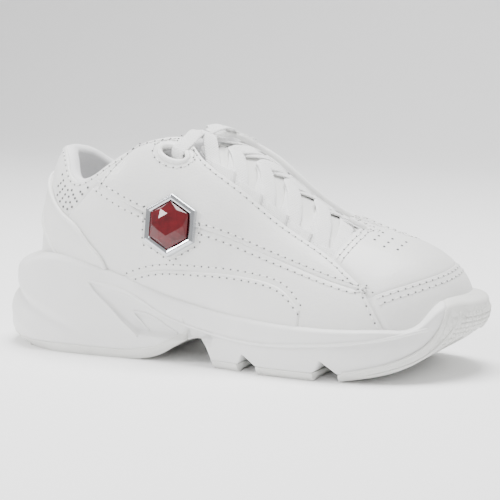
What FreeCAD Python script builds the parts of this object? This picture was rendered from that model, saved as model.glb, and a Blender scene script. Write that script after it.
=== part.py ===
import FreeCAD, Part
import math
import os

from FreeCAD import Placement, Rotation, Vector

# ---------------------------------------------------------------------------------------------
# A child's cheer shoe for the right foot. Lengths run from the back of the heel (x = 0) to the
# toe, the outer side of the foot is at negative y, and the ground is z = 0. Millimetres.
# Every piece is built in that frame and then moved by its Placement, so that the finished
# shoe stands centred on its origin.
# ---------------------------------------------------------------------------------------------

SIZES = {
    "half_length": 111.5,        # back of the heel to the middle of the shoe
    "side_shift": 1.25,          # centre plane of the foot to the middle of the sole's width
    "sole_block": 60.0,          # height of the blank that the sole pieces are cut from
    "sole_width": 120.0,         # width of the cutters that shape the sole's side view
    "lining_in": 0.0,            # depths of the upper's layers, outwards from the foot
    "lining_out": 0.6,
    "stiffener_in": 0.8,
    "stiffener_out": 1.6,
    "leather_in": 1.8,
    "leather_out": 2.8,
    "overlay_in": 3.0,
    "overlay_out": 3.8,
    "cup_clearance": 4.1,        # inner wall of the midsole's cup
    "collar_pad_in": -3.1,       # the collar's padding swells towards the ankle
    "collar_lining_in": -3.9,
    "tongue_out": -2.7,          # the tongue lies under the laces
    "tongue_leather": 0.8,
    "tongue_padding": 2.6,
    "tongue_lining": 0.6,
    "lace_width": 6.4,
    "lace_in": -2.25,
    "lace_out": -1.15,
    "loop_in": -0.85,
    "loop_out": -0.2,
    "board_thickness": 1.2,
    "sockliner_thickness": 3.4,
    "shank_thickness": 1.2,
    "shank_width": 22.0,
    "shank_length": 74.0,
    "gem_across": 20.4,          # across the corners of the badge's stone
    "gem_rim": 3.0,
    "gem_fit": 0.35,
    "gem_back": 0.7,
    "gem_girdle": 1.2,
    "gem_dome": 2.2,
    "gem_frame_depth": 2.3,
    "eyelet_long": 16.0,
    "eyelet_short": 9.0,
    "eyelet_rim": 1.8,
    "eyelet_depth": 0.8,
}

doc = FreeCAD.newDocument("cheer_shoe")
sheet = doc.addObject("Spreadsheet::Sheet", "Sizes")
for row, (word, value) in enumerate(SIZES.items(), start=1):
    sheet.set(f"A{row}", word)
    sheet.set(f"B{row}", str(value))
    sheet.setAlias(f"B{row}", word)
doc.recompute()


def size(word):
    """Read one driving size from the sheet."""
    return float(sheet.get(word))


# ------------------------------------------------------------------------ the foot's surface
# Stations round the foot's edge, from the middle of the heel along the outer side to the toe
# and back along the inner side: the edge's x, y and z, how far the wall leans out and rises
# from it, how far the top reaches down towards it (pull, drop), and where on the ridge it ends.
STATIONS = [
    (19, 0, 31, -4.0, 24, 17, 10, 36),
    (26, -18, 31, -1.0, 24, 18, 6, 40),
    (46, -25.5, 30, 5.0, 24, 24, 2, 55),
    (70, -27, 28, 6.0, 26, 30, 0, 76),
    (95, -27.5, 24, 7.0, 30, 36, -2, 92),
    (118, -29, 18, 8.5, 30, 34, 0, 115),
    (140, -33, 14, 8.5, 25, 31, 1, 138),
    (166, -36, 13, 6.5, 21, 27, 1, 164),
    (189, -32, 14, 4.5, 20, 22, 0, 180),
    (204.5, -18, 16, 4.0, 20, 20, 0, 185),
    (212.5, 5, 18, 3.5, 20, 20, 0, 186),
    (209, 20.5, 17, 4.0, 20, 20, 0, 185),
    (195, 30.5, 15, 4.0, 20, 20, 0, 180),
    (170, 34.5, 13, 5.0, 22, 22, 0, 166),
    (145, 33, 14, 6.0, 30, 26, -3, 141),
    (118, 27, 19, 7.5, 42, 32, -11, 115),
    (95, 22.5, 25, 8.5, 42, 34, -11, 92),
    (70, 22.5, 28, 8.0, 28, 25, 0, 76),
    (46, 24, 30, 5.0, 24, 22, 2, 55),
    (26, 17, 31, -1.0, 24, 18, 6, 40),
]
TOE_STATION = 10
RIDGE = [
    (36, 0, 96),
    (55, 0, 99),
    (76, 2, 99),
    (92, 3, 94.5),
    (115, 4.5, 86.5),
    (138, 6, 73.5),
    (164, 7.5, 60),
    (186, 8, 52.5),
]


def spline(knots, rows):
    """Smooth curve through rows of numbers at rising knots, as a function of the knot."""
    last = len(knots) - 1
    gaps = [knots[i + 1] - knots[i] for i in range(last)]
    slopes = [[(b - a) / gap for a, b in zip(rows[i], rows[i + 1])] for i, gap in enumerate(gaps)]
    share = [0.0] * (last + 1)
    bends = [[0.0] * len(rows[0]) for _ in knots]
    for i in range(1, last):
        pivot = 2 * (gaps[i - 1] + gaps[i]) - gaps[i - 1] * share[i - 1]
        share[i] = gaps[i] / pivot
        for k, before in enumerate(bends[i - 1]):
            bends[i][k] = (6 * (slopes[i][k] - slopes[i - 1][k]) - gaps[i - 1] * before) / pivot
    for i in range(last - 1, 0, -1):
        for k, after in enumerate(bends[i + 1]):
            bends[i][k] -= share[i] * after

    def at(knot):
        i = 0
        while i < last - 1 and knot > knots[i + 1]:
            i += 1
        gap = gaps[i]
        q = (knot - knots[i]) / gap
        p = 1 - q
        lift_p = (p ** 3 - p) * gap * gap / 6
        lift_q = (q ** 3 - q) * gap * gap / 6
        pairs = zip(rows[i], rows[i + 1], bends[i], bends[i + 1])
        return [p * a + q * b + lift_p * c + lift_q * d for a, b, c, d in pairs]

    return at


def station_knots():
    """Place along the foot's edge of each station: 0 at the heel, 0.5 at the toe, 1 at the heel."""
    count = len(STATIONS)
    runs = [math.dist(STATIONS[i][:2], STATIONS[(i + 1) % count][:2]) for i in range(count)]
    outer, inner = sum(runs[:TOE_STATION]), sum(runs[TOE_STATION:])
    knots = [0.0]
    for i, run in enumerate(runs):
        knots.append(knots[-1] + 0.5 * run / (outer if i < TOE_STATION else inner))
    return knots[:-1]


def ring_spline(knots, rows, overlap=6):
    """The same smooth curve for rows that close on themselves after a knot of 1."""
    tail = [(k - 1, row) for k, row in zip(knots[-overlap:], rows[-overlap:])]
    head = [(k + 1, row) for k, row in zip(knots[:overlap], rows[:overlap])]
    both = tail + list(zip(knots, rows)) + head
    return spline([k for k, _ in both], [row for _, row in both])


edge_at = ring_spline(station_knots(), STATIONS)
ridge_at = spline([p[0] for p in RIDGE], [p[1:] for p in RIDGE])
RIDGE_START, RIDGE_END = RIDGE[0][0], RIDGE[-1][0]
POLE = 0.985                      # rise at which the surface's normal is still well defined


def ridge_point(x):
    """Point on the foot's top line."""
    x = min(max(x, RIDGE_START), RIDGE_END)
    y, z = ridge_at(x)
    return Vector(x, y, z)


def foot(round_foot, rise):
    """Point on the foot's surface: round_foot goes round the edge, rise goes from edge to ridge."""
    place = round_foot % 1.0
    x, y, z, lean, height, pull, drop, top_x = edge_at(place)
    near = edge_at(place + 0.001)
    back = edge_at(place - 0.001)
    along = Vector(near[0] - back[0], near[1] - back[1], 0).normalize()
    foot_edge = Vector(x, y, z)
    low_handle = foot_edge + Vector(along.y, -along.x, 0) * lean + Vector(0, 0, height)
    top = ridge_point(top_x)
    top_along = (ridge_point(top_x + 0.5) - ridge_point(top_x - 0.5)).normalize()
    top_normal = top_along.cross(Vector(0, 1, 0)).normalize()
    down = foot_edge - top
    down = (down - top_normal * down.dot(top_normal)).normalize()
    top_handle = top + down * pull - Vector(0, 0, drop)
    u = 1 - rise
    return (foot_edge * u ** 3 + low_handle * (3 * u * u * rise)
            + top_handle * (3 * u * rise * rise) + top * rise ** 3)


def skin_point(round_foot, rise, depth):
    """Point at a depth outwards from the foot's surface."""
    step = 0.002
    sure = min(rise, POLE)
    across = foot(round_foot + step, sure) - foot(round_foot - step, sure)
    upward = foot(round_foot, min(sure + step, 1)) - foot(round_foot, max(sure - step, 0))
    return foot(round_foot, rise) + across.cross(upward).normalize() * depth


GRID_ROUND, GRID_RISE = 144, 28
GRID = [
    (i / GRID_ROUND, j / GRID_RISE, foot(i / GRID_ROUND, j / GRID_RISE))
    for i in range(GRID_ROUND)
    for j in range(GRID_RISE + 1)
]


def settle(goal):
    """Place (round_foot, rise) of the foot's surface that is nearest to a point."""
    place, rise, _ = min(GRID, key=lambda cell: cell[2].distanceToPoint(goal))
    step = 0.0005
    for _ in range(8):
        here = foot(place, rise)
        miss = goal - here
        by_place = (foot(place + step, rise) - foot(place - step, rise)) / (2 * step)
        by_rise = (foot(place, rise + step) - foot(place, rise - step)) / (2 * step)
        a = by_place.dot(by_place) + 1.0
        b = by_place.dot(by_rise)
        c = by_rise.dot(by_rise) + 0.01
        e, f = by_place.dot(miss), by_rise.dot(miss)
        det = a * c - b * b
        place += max(-0.01, min(0.01, (e * c - b * f) / det))
        rise += max(-0.04, min(0.04, (a * f - b * e) / det))
        rise = min(max(rise, 0.0), 0.998)
    return place % 1.0, rise


def line(points, around_heel=False):
    """Curve on the foot's surface near the given points, as a function from 0 to 1."""
    goals = [Vector(*p) for p in points]
    places = [settle(goal) for goal in goals]
    if around_heel:
        places = [(p - 1 if p > 0.5 else p, rise) for p, rise in places]
    knots = [0.0]
    for a, b in zip(goals, goals[1:]):
        knots.append(knots[-1] + a.distanceToPoint(b))
    return spline([k / knots[-1] for k in knots], places)


def edge_line(start, end):
    """Stretch of the foot's edge between two places round the foot."""
    return lambda a: (start + (end - start) * a, 0.0)


def between(lower, upper):
    """Patch of the foot's surface ruled between two curves on it."""
    def place(a, b):
        low, high = lower(a), upper(a)
        return [p + (q - p) * b for p, q in zip(low, high)]
    return place


def station_of(ridge_x, outer_side):
    """Place round the foot whose wall ends at a given x of the ridge."""
    low, high = (0.0, 0.5) if outer_side else (1.0, 0.5)
    for _ in range(30):
        middle = (low + high) / 2
        if edge_at(middle)[7] < ridge_x:
            low = middle
        else:
            high = middle
    return (low + high) / 2


def over_ridge(ridge_x, side):
    """Place over the top of the foot: side runs from -1 (outer edge) to 1 (inner edge)."""
    return station_of(ridge_x, side < 0), 1 - abs(side)


# ---------------------------------------------------------------------------------- helpers
def settle_part(part, label):
    """Name a finished sub-part and move it to the shoe's own origin."""
    part.Label = label
    part.setExpression(".Placement.Base.x", "-Sizes.half_length")
    part.setExpression(".Placement.Base.y", "Sizes.side_shift")
    return part


def closed_solid(inner, outer):
    """Solid between two nets of points with the same rows and columns."""
    surfaces = []
    for net in (inner, outer):
        surface = Part.BSplineSurface()
        surface.interpolate(net)
        surfaces.append(surface)
    faces = [surface.toShape() for surface in surfaces]
    u0, u1, v0, v1 = surfaces[0].bounds()
    p0, p1, q0, q1 = surfaces[1].bounds()
    borders = [
        (surfaces[0].uIso(u0), surfaces[1].uIso(p0)),
        (surfaces[0].uIso(u1), surfaces[1].uIso(p1)),
        (surfaces[0].vIso(v0), surfaces[1].vIso(q0)),
        (surfaces[0].vIso(v1), surfaces[1].vIso(q1)),
    ]
    for border in borders:
        wires = [Part.Wire(curve.toShape()) for curve in border]
        faces += Part.makeLoft(wires, False, True).Faces
    shell = Part.makeShell(faces)
    shell.sewShape()
    solid = Part.makeSolid(Part.Shell(shell.Faces))
    if solid.Volume < 0:
        solid.reverse()
    return solid


def panel_shape(patch, depth_in, depth_out, columns=14, rows=6, margin=0.006, hump=None):
    """Thin solid over a patch of the foot's surface.

    The margin leaves a gap along its edges: one share for all, or one each for its start, end,
    low and high side.
    """
    start, end, low, high = margin if isinstance(margin, tuple) else (margin,) * 4
    nets = []
    for depth in (depth_in, depth_out):
        net = []
        for i in range(columns + 1):
            a = start + (1 - start - end) * i / columns
            extra = hump(a) if hump else 0.0
            column = []
            for j in range(rows + 1):
                b = low + (1 - low - high) * j / rows
                place, rise = patch(a, b)
                column.append(skin_point(place, rise, depth + extra))
            net.append(column)
        nets.append(net)
    return closed_solid(*nets)


def panel(label, patch, layer, columns=14, rows=6, margin=0.006, cutters=()):
    """Sub-part cut from sheet material: a panel in one of the upper's layers."""
    part = doc.addObject("Part::Feature", label)
    shape = panel_shape(patch, size(f"{layer}_in"), size(f"{layer}_out"), columns, rows, margin)
    for cutter in cutters:
        shape = shape.cut(cutter)
    part.Shape = shape if len(shape.Solids) > 1 or not cutters else shape.Solids[0]
    return settle_part(part, label)


made = []


def keep(part):
    """Put a finished sub-part on the list of those that are written out."""
    made.append(part)
    return part


def profile_sketch(body, plane, label, strokes):
    """Closed sketch from strokes of points: two points make a line, more make a smooth curve."""
    if body is None:
        sketch = doc.addObject("Sketcher::SketchObject", label)
        sketch.Placement = Placement(Vector(), FLAT_PLANES[plane])
    else:
        sketch = body.newObject("Sketcher::SketchObject", label)
        planes = [f for f in body.Origin.OriginFeatures if f.Role == plane]
        sketch.AttachmentSupport = (planes[0], "")
        sketch.MapMode = "FlatFace"
    for stroke in strokes:
        points = [Vector(p[0], p[1], 0) for p in stroke]
        if len(points) == 2:
            sketch.addGeometry(Part.LineSegment(*points))
        else:
            curve = Part.BSplineCurve()
            curve.interpolate(points)
            sketch.addGeometry(curve)
    return sketch


FLAT_PLANES = {
    "XY_Plane": Rotation(),
    "XZ_Plane": Rotation(Vector(1, 0, 0), 90),
}


def block(label, plane, strokes, length, symmetric):
    """Blank extruded from a closed sketch, its length bound to the sheet."""
    sketch = profile_sketch(None, plane, f"{label}_sketch", strokes)
    blank = doc.addObject("Part::Extrusion", label)
    blank.Base = sketch
    blank.DirMode = "Normal"
    blank.Solid = True
    blank.Symmetric = symmetric
    blank.setExpression("LengthFwd", length)
    return blank


def common(label, shapes):
    """What several shapes have in common."""
    part = doc.addObject("Part::MultiCommon", label)
    part.Shapes = shapes
    return part


def cut(label, base, tools):
    """A shape with others taken away from it, one after another."""
    for index, tool in enumerate(tools):
        part = doc.addObject("Part::Cut", f"{label}_cut_{index}")
        part.Base, part.Tool = base, tool
        base = part
    return base


def closed(points):
    """Strokes of a closed outline with straight sides."""
    return [[a, b] for a, b in zip(points, points[1:] + points[:1])]


# -------------------------------------------------------------------------------------- sole
SOLE_OUTER = [(0.4, 0), (5, -16), (18, -28.5), (36, -33), (58, -34), (93, -34), (122, -37.5),
              (146, -42), (172, -42.5), (197, -35.5), (214, -19), (223, 3)]
SOLE_INNER = [(223, 3), (219, 21), (203, 34), (178, 40), (150, 40), (122, 34.5), (93, 30),
              (58, 30), (36, 29), (18, 24.5), (5, 14), (0.4, 0)]
TREAD = 3.6                       # thickness of the rubber under the forefoot
HEEL_BACK = [(17.5, 41.5), (8, 38), (3.8, 31), (4.6, 26), (2, 20), (0.8, 12), (2.8, 5), (9.5, 0)]
ARCH = [(76, 0), (90, 3.2), (101, 9.5), (108, 11.5), (113, 8), (116.5, 0)]
TOE_SPRING = [(172, 0), (190, 2.8), (206, 9), (217.5, 17)]
TOE_FRONT = [(217.5, 17), (221.8, 22), (223, 27), (221, 31.5), (217, 33)]
RIM = [(217, 33), (212.5, 30.5), (208, 25), (197.5, 22), (180, 22), (158, 22), (135, 23),
       (111, 25.5), (87, 31.6), (63, 39), (43, 43), (30, 43.5), (17.5, 41.5)]
FOOTBED = [(16, 31), (46, 30), (70, 28), (95, 24.5), (118, 18.5), (140, 14), (166, 13),
           (192, 14.5), (210, 16.5), (219, 18)]
BOARD_TOP = -0.5                  # the board's top lies just under the upper's edge
BED_GAP = 0.1


def footbed(shift, start=-20.0, end=260.0):
    """Side-view line of the footbed, moved up or down, with level ends."""
    low = [(start, FOOTBED[0][1] + shift)]
    middle = [(x, z + shift) for x, z in FOOTBED]
    return low, middle, [(end, FOOTBED[-1][1] + shift)]


def bed_slice(label, bottom, top):
    """Slice between two lines that follow the footbed."""
    low_start, low, low_end = footbed(bottom)
    high_start, high, high_end = footbed(top)
    strokes = [
        [low_start[0], low[0]], low, [low[-1], low_end[0]], [low_end[0], high_end[0]],
        [high_end[0], high[-1]], high[::-1], [high[0], high_start[0]],
        [high_start[0], low_start[0]],
    ]
    return block(label, "XZ_Plane", strokes, "Sizes.sole_width", True)


def edge_outline(inset, stations=40):
    """Closed plan of the foot's edge, moved in or out, as one smooth stroke."""
    ring = []
    for i in range(stations + 1):
        p = skin_point(i / stations, 0.0, 0.0)
        n = (skin_point(i / stations, 0.0, 1.0) - p)
        n = Vector(n.x, n.y, 0).normalize()
        ring.append((p.x - n.x * inset, p.y - n.y * inset))
    return [ring]


sole_plan = block("sole_plan", "XY_Plane", [SOLE_OUTER, SOLE_INNER], "Sizes.sole_block", False)
sole_side = block(
    "sole_side", "XZ_Plane",
    [HEEL_BACK, [(9.5, 0), (76, 0)], ARCH, [(116.5, 0), (172, 0)], TOE_SPRING, TOE_FRONT, RIM],
    "Sizes.sole_width", True)
sole_blank = common("sole_blank", [sole_plan, sole_side])

cup_rings = []
CUP_RISES = (0.0, 0.05, 0.11, 0.18, 0.27, 0.36)
CUP_STATIONS = 32


def cup_ring(label, rise, level=None):
    """Ring round the upper, a clearance outside its outermost layer."""
    depth = size("cup_clearance")
    points = []
    for i in range(CUP_STATIONS):
        p = skin_point(i / CUP_STATIONS, rise, depth)
        points.append(Vector(p.x, p.y, p.z if level is None else level))
    curve = Part.BSplineCurve()
    curve.interpolate(Points=points, PeriodicFlag=True)
    ring = doc.addObject("Part::Feature", label)
    ring.Shape = Part.Wire(curve.toShape())
    return ring


cup_rings.append(cup_ring("cup_ring_floor", CUP_RISES[0], -10.0))
cup_rings += [cup_ring(f"cup_ring_{i}", rise) for i, rise in enumerate(CUP_RISES)]
cup_rings.append(cup_ring("cup_ring_top", CUP_RISES[-1], 80.0))
cup_loft = doc.addObject("Part::Loft", "cup_loft")
cup_loft.Sections = cup_rings
cup_loft.Solid = True
cup_loft.Ruled = True
cup_space = common("cup_space", [cup_loft, bed_slice("above_bed", -size("board_thickness") +
                                                     BOARD_TOP - BED_GAP, 90.0)])

BANDS = {
    "heel_outsole": closed([(-5, -5), (-5, 7), (4, 6), (16, 4.2), (74, 4.2), (88, 6.6),
                            (98, 12), (103, 15), (103, -5)]),
    "rear_forefoot_pod": closed([(116, -5), (116, TREAD), (129.5, TREAD), (129.5, -5)]),
    "middle_forefoot_pod": closed([(138.5, -5), (138.5, TREAD), (165.5, TREAD), (165.5, -5)]),
    "toe_outsole": closed([(176, -5), (176, TREAD), (190, 6.4), (202, 10.5), (208.5, 15),
                           (213, 23), (215, 45), (240, 45), (240, -5)]),
}
NOTCHES = {
    "rear_notch": closed([(129.5, -5), (129.5, TREAD), (131.5, 8), (138.5, TREAD), (138.5, -5)]),
    "front_notch": closed([(165.5, -5), (165.5, TREAD), (168, 9), (176, TREAD), (176, -5)]),
}
bands = {name: block(f"{name}_band", "XZ_Plane", strokes, "Sizes.sole_width", True)
         for name, strokes in BANDS.items()}
notches = [block(name, "XZ_Plane", strokes, "Sizes.sole_width", True)
           for name, strokes in NOTCHES.items()]

# The shank is a narrow plate with round ends, bent to the footbed and bedded in the midsole.
SHANK_MIDDLE = 104.0
shank_plan = doc.addObject("PartDesign::Body", "shank_blank")
shank_sketch = profile_sketch(shank_plan, "XY_Plane", "shank_outline", closed(
    [(0, -1), (1, -1), (1, 1), (0, 1)]))
for index in range(4):
    shank_sketch.delGeometry(0)
half_long = (size("shank_length") - size("shank_width")) / 2
half_wide = size("shank_width") / 2
for side in (-1, 1):
    shank_sketch.addGeometry(Part.LineSegment(
        Vector(SHANK_MIDDLE - half_long, side * half_wide, 0),
        Vector(SHANK_MIDDLE + half_long, side * half_wide, 0)))
    centre = Vector(SHANK_MIDDLE + side * half_long, 0, 0)
    circle = Part.Circle(centre, Vector(0, 0, 1), half_wide)
    start = -math.pi / 2 if side > 0 else math.pi / 2
    shank_sketch.addGeometry(Part.ArcOfCircle(circle, start, start + math.pi))
shank_pad = shank_plan.newObject("PartDesign::Pad", "shank_pad")
shank_pad.Profile = shank_sketch
shank_pad.setExpression("Length", "Sizes.sole_block")
shank_high = -size("board_thickness") + BOARD_TOP - 2 * BED_GAP
shank_low = shank_high - size("shank_thickness")
shank = common("shank", [shank_plan, bed_slice("shank_slice", shank_low, shank_high)])
POCKET_OVERRUN = 2.0              # the shank's pocket is open to the space above it
pocket = common("shank_pocket", [shank_plan, bed_slice("pocket_slice", shank_low,
                                                       shank_high + POCKET_OVERRUN)])
keep(settle_part(shank, "shank_plate"))

for name, band in bands.items():
    piece = common(f"{name}_blank", [sole_blank, band])
    if name == "toe_outsole":
        piece = cut(name, piece, [cup_space])
    keep(settle_part(piece, name))

midsole = cut("midsole", sole_blank, list(bands.values()) + notches + [pocket, cup_space])
keep(settle_part(midsole, "midsole"))

board_plan = block("board_plan", "XY_Plane", edge_outline(-2.4), "Sizes.sole_block", False)
board = common("board", [board_plan, bed_slice(
    "board_slice", BOARD_TOP - size("board_thickness"), BOARD_TOP)])
keep(settle_part(board, "strobel_board"))

SOCKLINER_LIFT = 0.25
sockliner_plan = block("sockliner_plan", "XY_Plane", edge_outline(1.3), "Sizes.sole_block", False)
sockliner = common("sockliner", [sockliner_plan, bed_slice(
    "sockliner_slice", SOCKLINER_LIFT, SOCKLINER_LIFT + size("sockliner_thickness"))])
keep(settle_part(sockliner, "sockliner"))


# ------------------------------------------------------------------------------- upper: lines
# Seam lines of the upper, each a few points near the surface, from the heel to the toe.
OUTER_EYESTAY = [(101.5, -19, 94), (114.5, -21, 82), (140.5, -22, 65), (166.5, -24, 48),
                 (184.5, -32, 38)]
INNER_EYESTAY = [(111.5, 20, 95), (124, 21, 86), (141, 20, 72), (159, 20, 62), (173, 20, 56),
                 (186, 30, 40)]
OUTER_SEAM = [(57, -26, 74), (75, -28, 66), (110.5, -30, 58), (156.5, -35, 47), (184, -33, 38.5)]
INNER_SEAM = [(57, 25, 74), (75, 25, 66), (110.5, 28, 58), (156.5, 34, 46), (186, 31, 38.5)]
OUTER_COLLAR_BORDER = [(70.3, -22, 90.4), (61, -25, 80.6), (50, -25, 69.2), (41.6, -24, 60.4)]
INNER_COLLAR_BORDER = [(70.3, 21, 91.4), (61, 24, 81), (50, 24, 70.2), (41.6, 23, 60.4)]
# The lower quarters' top lines up to the seam, with a close corner below the collar's panel.
OUTER_LOW_REAR = [(42.5, -24, 59.5), (50, -25, 66.5), (54.5, -25.5, 70.5), (58, -26, 71.8),
                  (62, -26.5, 70.4), (67, -27, 68.2)]
INNER_LOW_REAR = [(42.5, 23, 59.5), (50, 24, 66.5), (54.5, 24.5, 70.5), (58, 24.8, 71.8),
                  (62, 25, 70.4), (67, 25, 68.2)]
OUTER_COLLAR_TOP = [(71.5, -22, 91), (61, -24, 84), (52, -24, 77), (45, -23, 75),
                    (38.6, -20, 79), (33, -12, 86)]
INNER_COLLAR_TOP = [(71.5, 21, 92), (61, 23, 86), (52, 23, 81), (45, 22, 79.5),
                    (38.6, 19, 82), (33, 12, 87)]
OUTER_TAB_TOP = [(76, -21, 95), (82.5, -19, 99), (93.5, -14, 101)]
INNER_TAB_TOP = [(82, 21, 97), (92, 19, 101.5), (103.5, 18, 101.5)]
HEEL_TOP = (26.5, 0, 89)
STRAP_FRONT = [(64, -30, 38), (60.5, -29, 44.2), (55.6, -28, 48.7), (48.7, -26, 55.6),
               (41, -23, 60), (34, -17, 65.5), (28.4, -10, 71.5)]
STRAP_FRONT_BACK = (24.7, 0, 76)
STRAP_REAR = [(41, -25, 37), (37, -23, 43), (30, -16, 52), (25, -10, 59), (21.5, -5, 63.5)]
STRAP_REAR_BACK = (20, 0, 65.5)
SADDLE_OUTER = [(72, -30, 34.5), (82, -30, 38.3), (106.5, -32, 40.5), (134.5, -35, 39.5),
                (150, -37, 35.5), (158, -38, 28)]
SADDLE_INNER = [(72, 26, 34.5), (82, 26, 38.3), (106.5, 28, 41), (134.5, 33, 40),
                (150, 36, 36), (158, 37, 28)]
THROAT = [(166.5, -24, 49), (169.5, -12, 57), (171.5, 2, 60), (173, 12, 59.5), (173, 20, 55)]
TOE_SEAM = [(188, -32, 36.5), (196, -27, 40), (205, -16, 43), (210, 0, 44.5), (206.5, 16, 44),
            (198, 26, 42), (189, 32, 37)]
PAD_FLOOR = 60.0                  # height at the heel down to which the collar is padded
OUTER_PAD_LOW = [(96, -21, 90), (84, -25, 81), (70, -27, 72), (55, -27, 65), (42, -24, 61),
                 (30, -13, PAD_FLOOR)]
INNER_PAD_LOW = [(105, 20, 90), (88, 23, 81), (70, 24, 72), (55, 25, 65), (42, 23, 61),
                 (30, 13, PAD_FLOOR)]
PAD_LOW_BACK = (21, 0, PAD_FLOOR)


def both_sides(outer, back, inner):
    """One line that runs from the outer side round the heel to the inner side."""
    return line(outer + [back] + inner[::-1], around_heel=True)


def mirrored(points):
    """The same line on the inner side of the heel, where the shoe is nearly symmetric."""
    return [(x, -y, z) for x, y, z in points]


def foot_place(x, y, z):
    """Place round the foot of the point of the foot's edge nearest to the given one."""
    return settle(Vector(x, y, z))[0]


OUTER_FRONT = foot_place(199, -33, 16)
INNER_FRONT = foot_place(201, 30, 16)
OUTER_BACK = foot_place(66, -29, 29)
INNER_BACK = foot_place(66, 24, 29)
OUTER_STRAP_END = foot_place(42, -25, 30)
INNER_STRAP_END = foot_place(42, 24, 30)

# ------------------------------------------------------------------------------ upper: panels
outer_top_edge = line(OUTER_COLLAR_TOP[:1] + OUTER_TAB_TOP + OUTER_EYESTAY)
inner_top_edge = line(INNER_COLLAR_TOP[:1] + INNER_TAB_TOP + INNER_EYESTAY)
outer_seam = line(OUTER_SEAM)
inner_seam = line(INNER_SEAM)
outer_low_top = line(OUTER_LOW_REAR + OUTER_SEAM[1:])
inner_low_top = line(INNER_LOW_REAR + INNER_SEAM[1:])


def eyelet_cutter(centre, side):
    """Oval prism through the upper at the top eyelet."""
    place, rise = settle(Vector(*centre))
    base = skin_point(place, rise, 0.0)
    normal = (skin_point(place, rise, 1.0) - base).normalize()
    slope = Vector(1, 0, -0.35)
    long_way = (slope - normal * slope.dot(normal)).normalize()
    frame = Placement(base - normal * 12, Rotation(long_way, normal.cross(long_way), normal, "ZXY"))
    oval = Part.Ellipse(Vector(), size("eyelet_long") / 2, size("eyelet_short") / 2)
    prism = Part.Face(Part.Wire(oval.toShape())).extrude(Vector(0, 0, 24))
    prism.Placement = frame
    return prism, frame


OUTER_EYELET = (90.5, -20, 89.5)
INNER_EYELET = (101.5, 19, 92.5)
SEAM_GAP, WIDE_GAP, WIDER_GAP = 0.006, 0.025, 0.045   # gaps along panels, as shares of them
outer_oval, outer_eyelet_frame = eyelet_cutter(OUTER_EYELET, -1)
inner_oval, inner_eyelet_frame = eyelet_cutter(INNER_EYELET, 1)

keep(panel("lateral_quarter", between(outer_seam, outer_top_edge), "leather", 26, 8,
           cutters=[outer_oval]))
keep(panel("medial_quarter", between(inner_top_edge, inner_seam), "leather", 26, 8,
           cutters=[inner_oval]))
keep(panel("lateral_lower_quarter",
           between(edge_line(OUTER_BACK, OUTER_FRONT), outer_low_top), "leather", 22, 8,
           margin=(SEAM_GAP, SEAM_GAP, WIDE_GAP, WIDER_GAP)))
keep(panel("medial_lower_quarter",
           between(inner_low_top, edge_line(INNER_BACK, INNER_FRONT)), "leather", 22, 8,
           margin=(SEAM_GAP, SEAM_GAP, WIDER_GAP, WIDE_GAP)))
keep(panel("lateral_saddle",
           between(edge_line(foot_place(72, -29, 28), foot_place(158, -36, 13)),
                   line(SADDLE_OUTER)), "overlay", 18, 5))
keep(panel("medial_saddle",
           between(edge_line(foot_place(72, 24, 28), foot_place(158, 34, 13)),
                   line(SADDLE_INNER)), "overlay", 18, 5))

strap_front = both_sides(STRAP_FRONT, STRAP_FRONT_BACK, mirrored(STRAP_FRONT))
strap_rear = both_sides(STRAP_REAR, STRAP_REAR_BACK, mirrored(STRAP_REAR))
keep(panel("heel_strap", between(strap_rear, strap_front), "overlay", 40, 5, margin=0.004))
keep(panel("backstay",
           between(edge_line(OUTER_STRAP_END, INNER_STRAP_END - 1), strap_rear), "leather", 24, 8))

collar_low = both_sides(OUTER_COLLAR_BORDER + STRAP_FRONT[-2:], STRAP_FRONT_BACK,
                        INNER_COLLAR_BORDER + mirrored(STRAP_FRONT[-2:]))
collar_top = both_sides(OUTER_COLLAR_TOP, HEEL_TOP, INNER_COLLAR_TOP)
keep(panel("collar_panel", between(collar_low, collar_top), "leather", 48, 6, margin=0.012))


def vamp_place(a, b):
    """Place on the top of the forefoot, between the throat and the toe seam."""
    goal = throat_at(a) * (1 - b) + toe_seam_at(a) * b
    return settle(goal)


def point_line(points):
    """Smooth curve through points in space, as a function from 0 to 1."""
    knots = [0.0]
    for p, q in zip(points, points[1:]):
        knots.append(knots[-1] + math.dist(p, q))
    curve = spline([k / knots[-1] for k in knots], points)
    return lambda a: Vector(*curve(a))


throat_at = point_line(THROAT)
toe_seam_at = point_line(TOE_SEAM)
toe_top = line(TOE_SEAM)
toe_patch = between(edge_line(OUTER_FRONT, INNER_FRONT), toe_top)
keep(panel("vamp", vamp_place, "leather", 20, 10,
           margin=(SEAM_GAP, WIDER_GAP, SEAM_GAP, SEAM_GAP)))
keep(panel("toe_cap", toe_patch, "leather", 26, 6,
           margin=(SEAM_GAP, SEAM_GAP, WIDE_GAP, SEAM_GAP)))

# ---------------------------------------------------------------------- linings and stiffeners
keep(panel("vamp_lining", vamp_place, "lining", 20, 10,
           margin=(SEAM_GAP, WIDER_GAP, SEAM_GAP, SEAM_GAP)))
keep(panel("toe_lining", toe_patch, "lining", 26, 6))
keep(panel("toe_puff", toe_patch, "stiffener", 26, 6))

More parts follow.
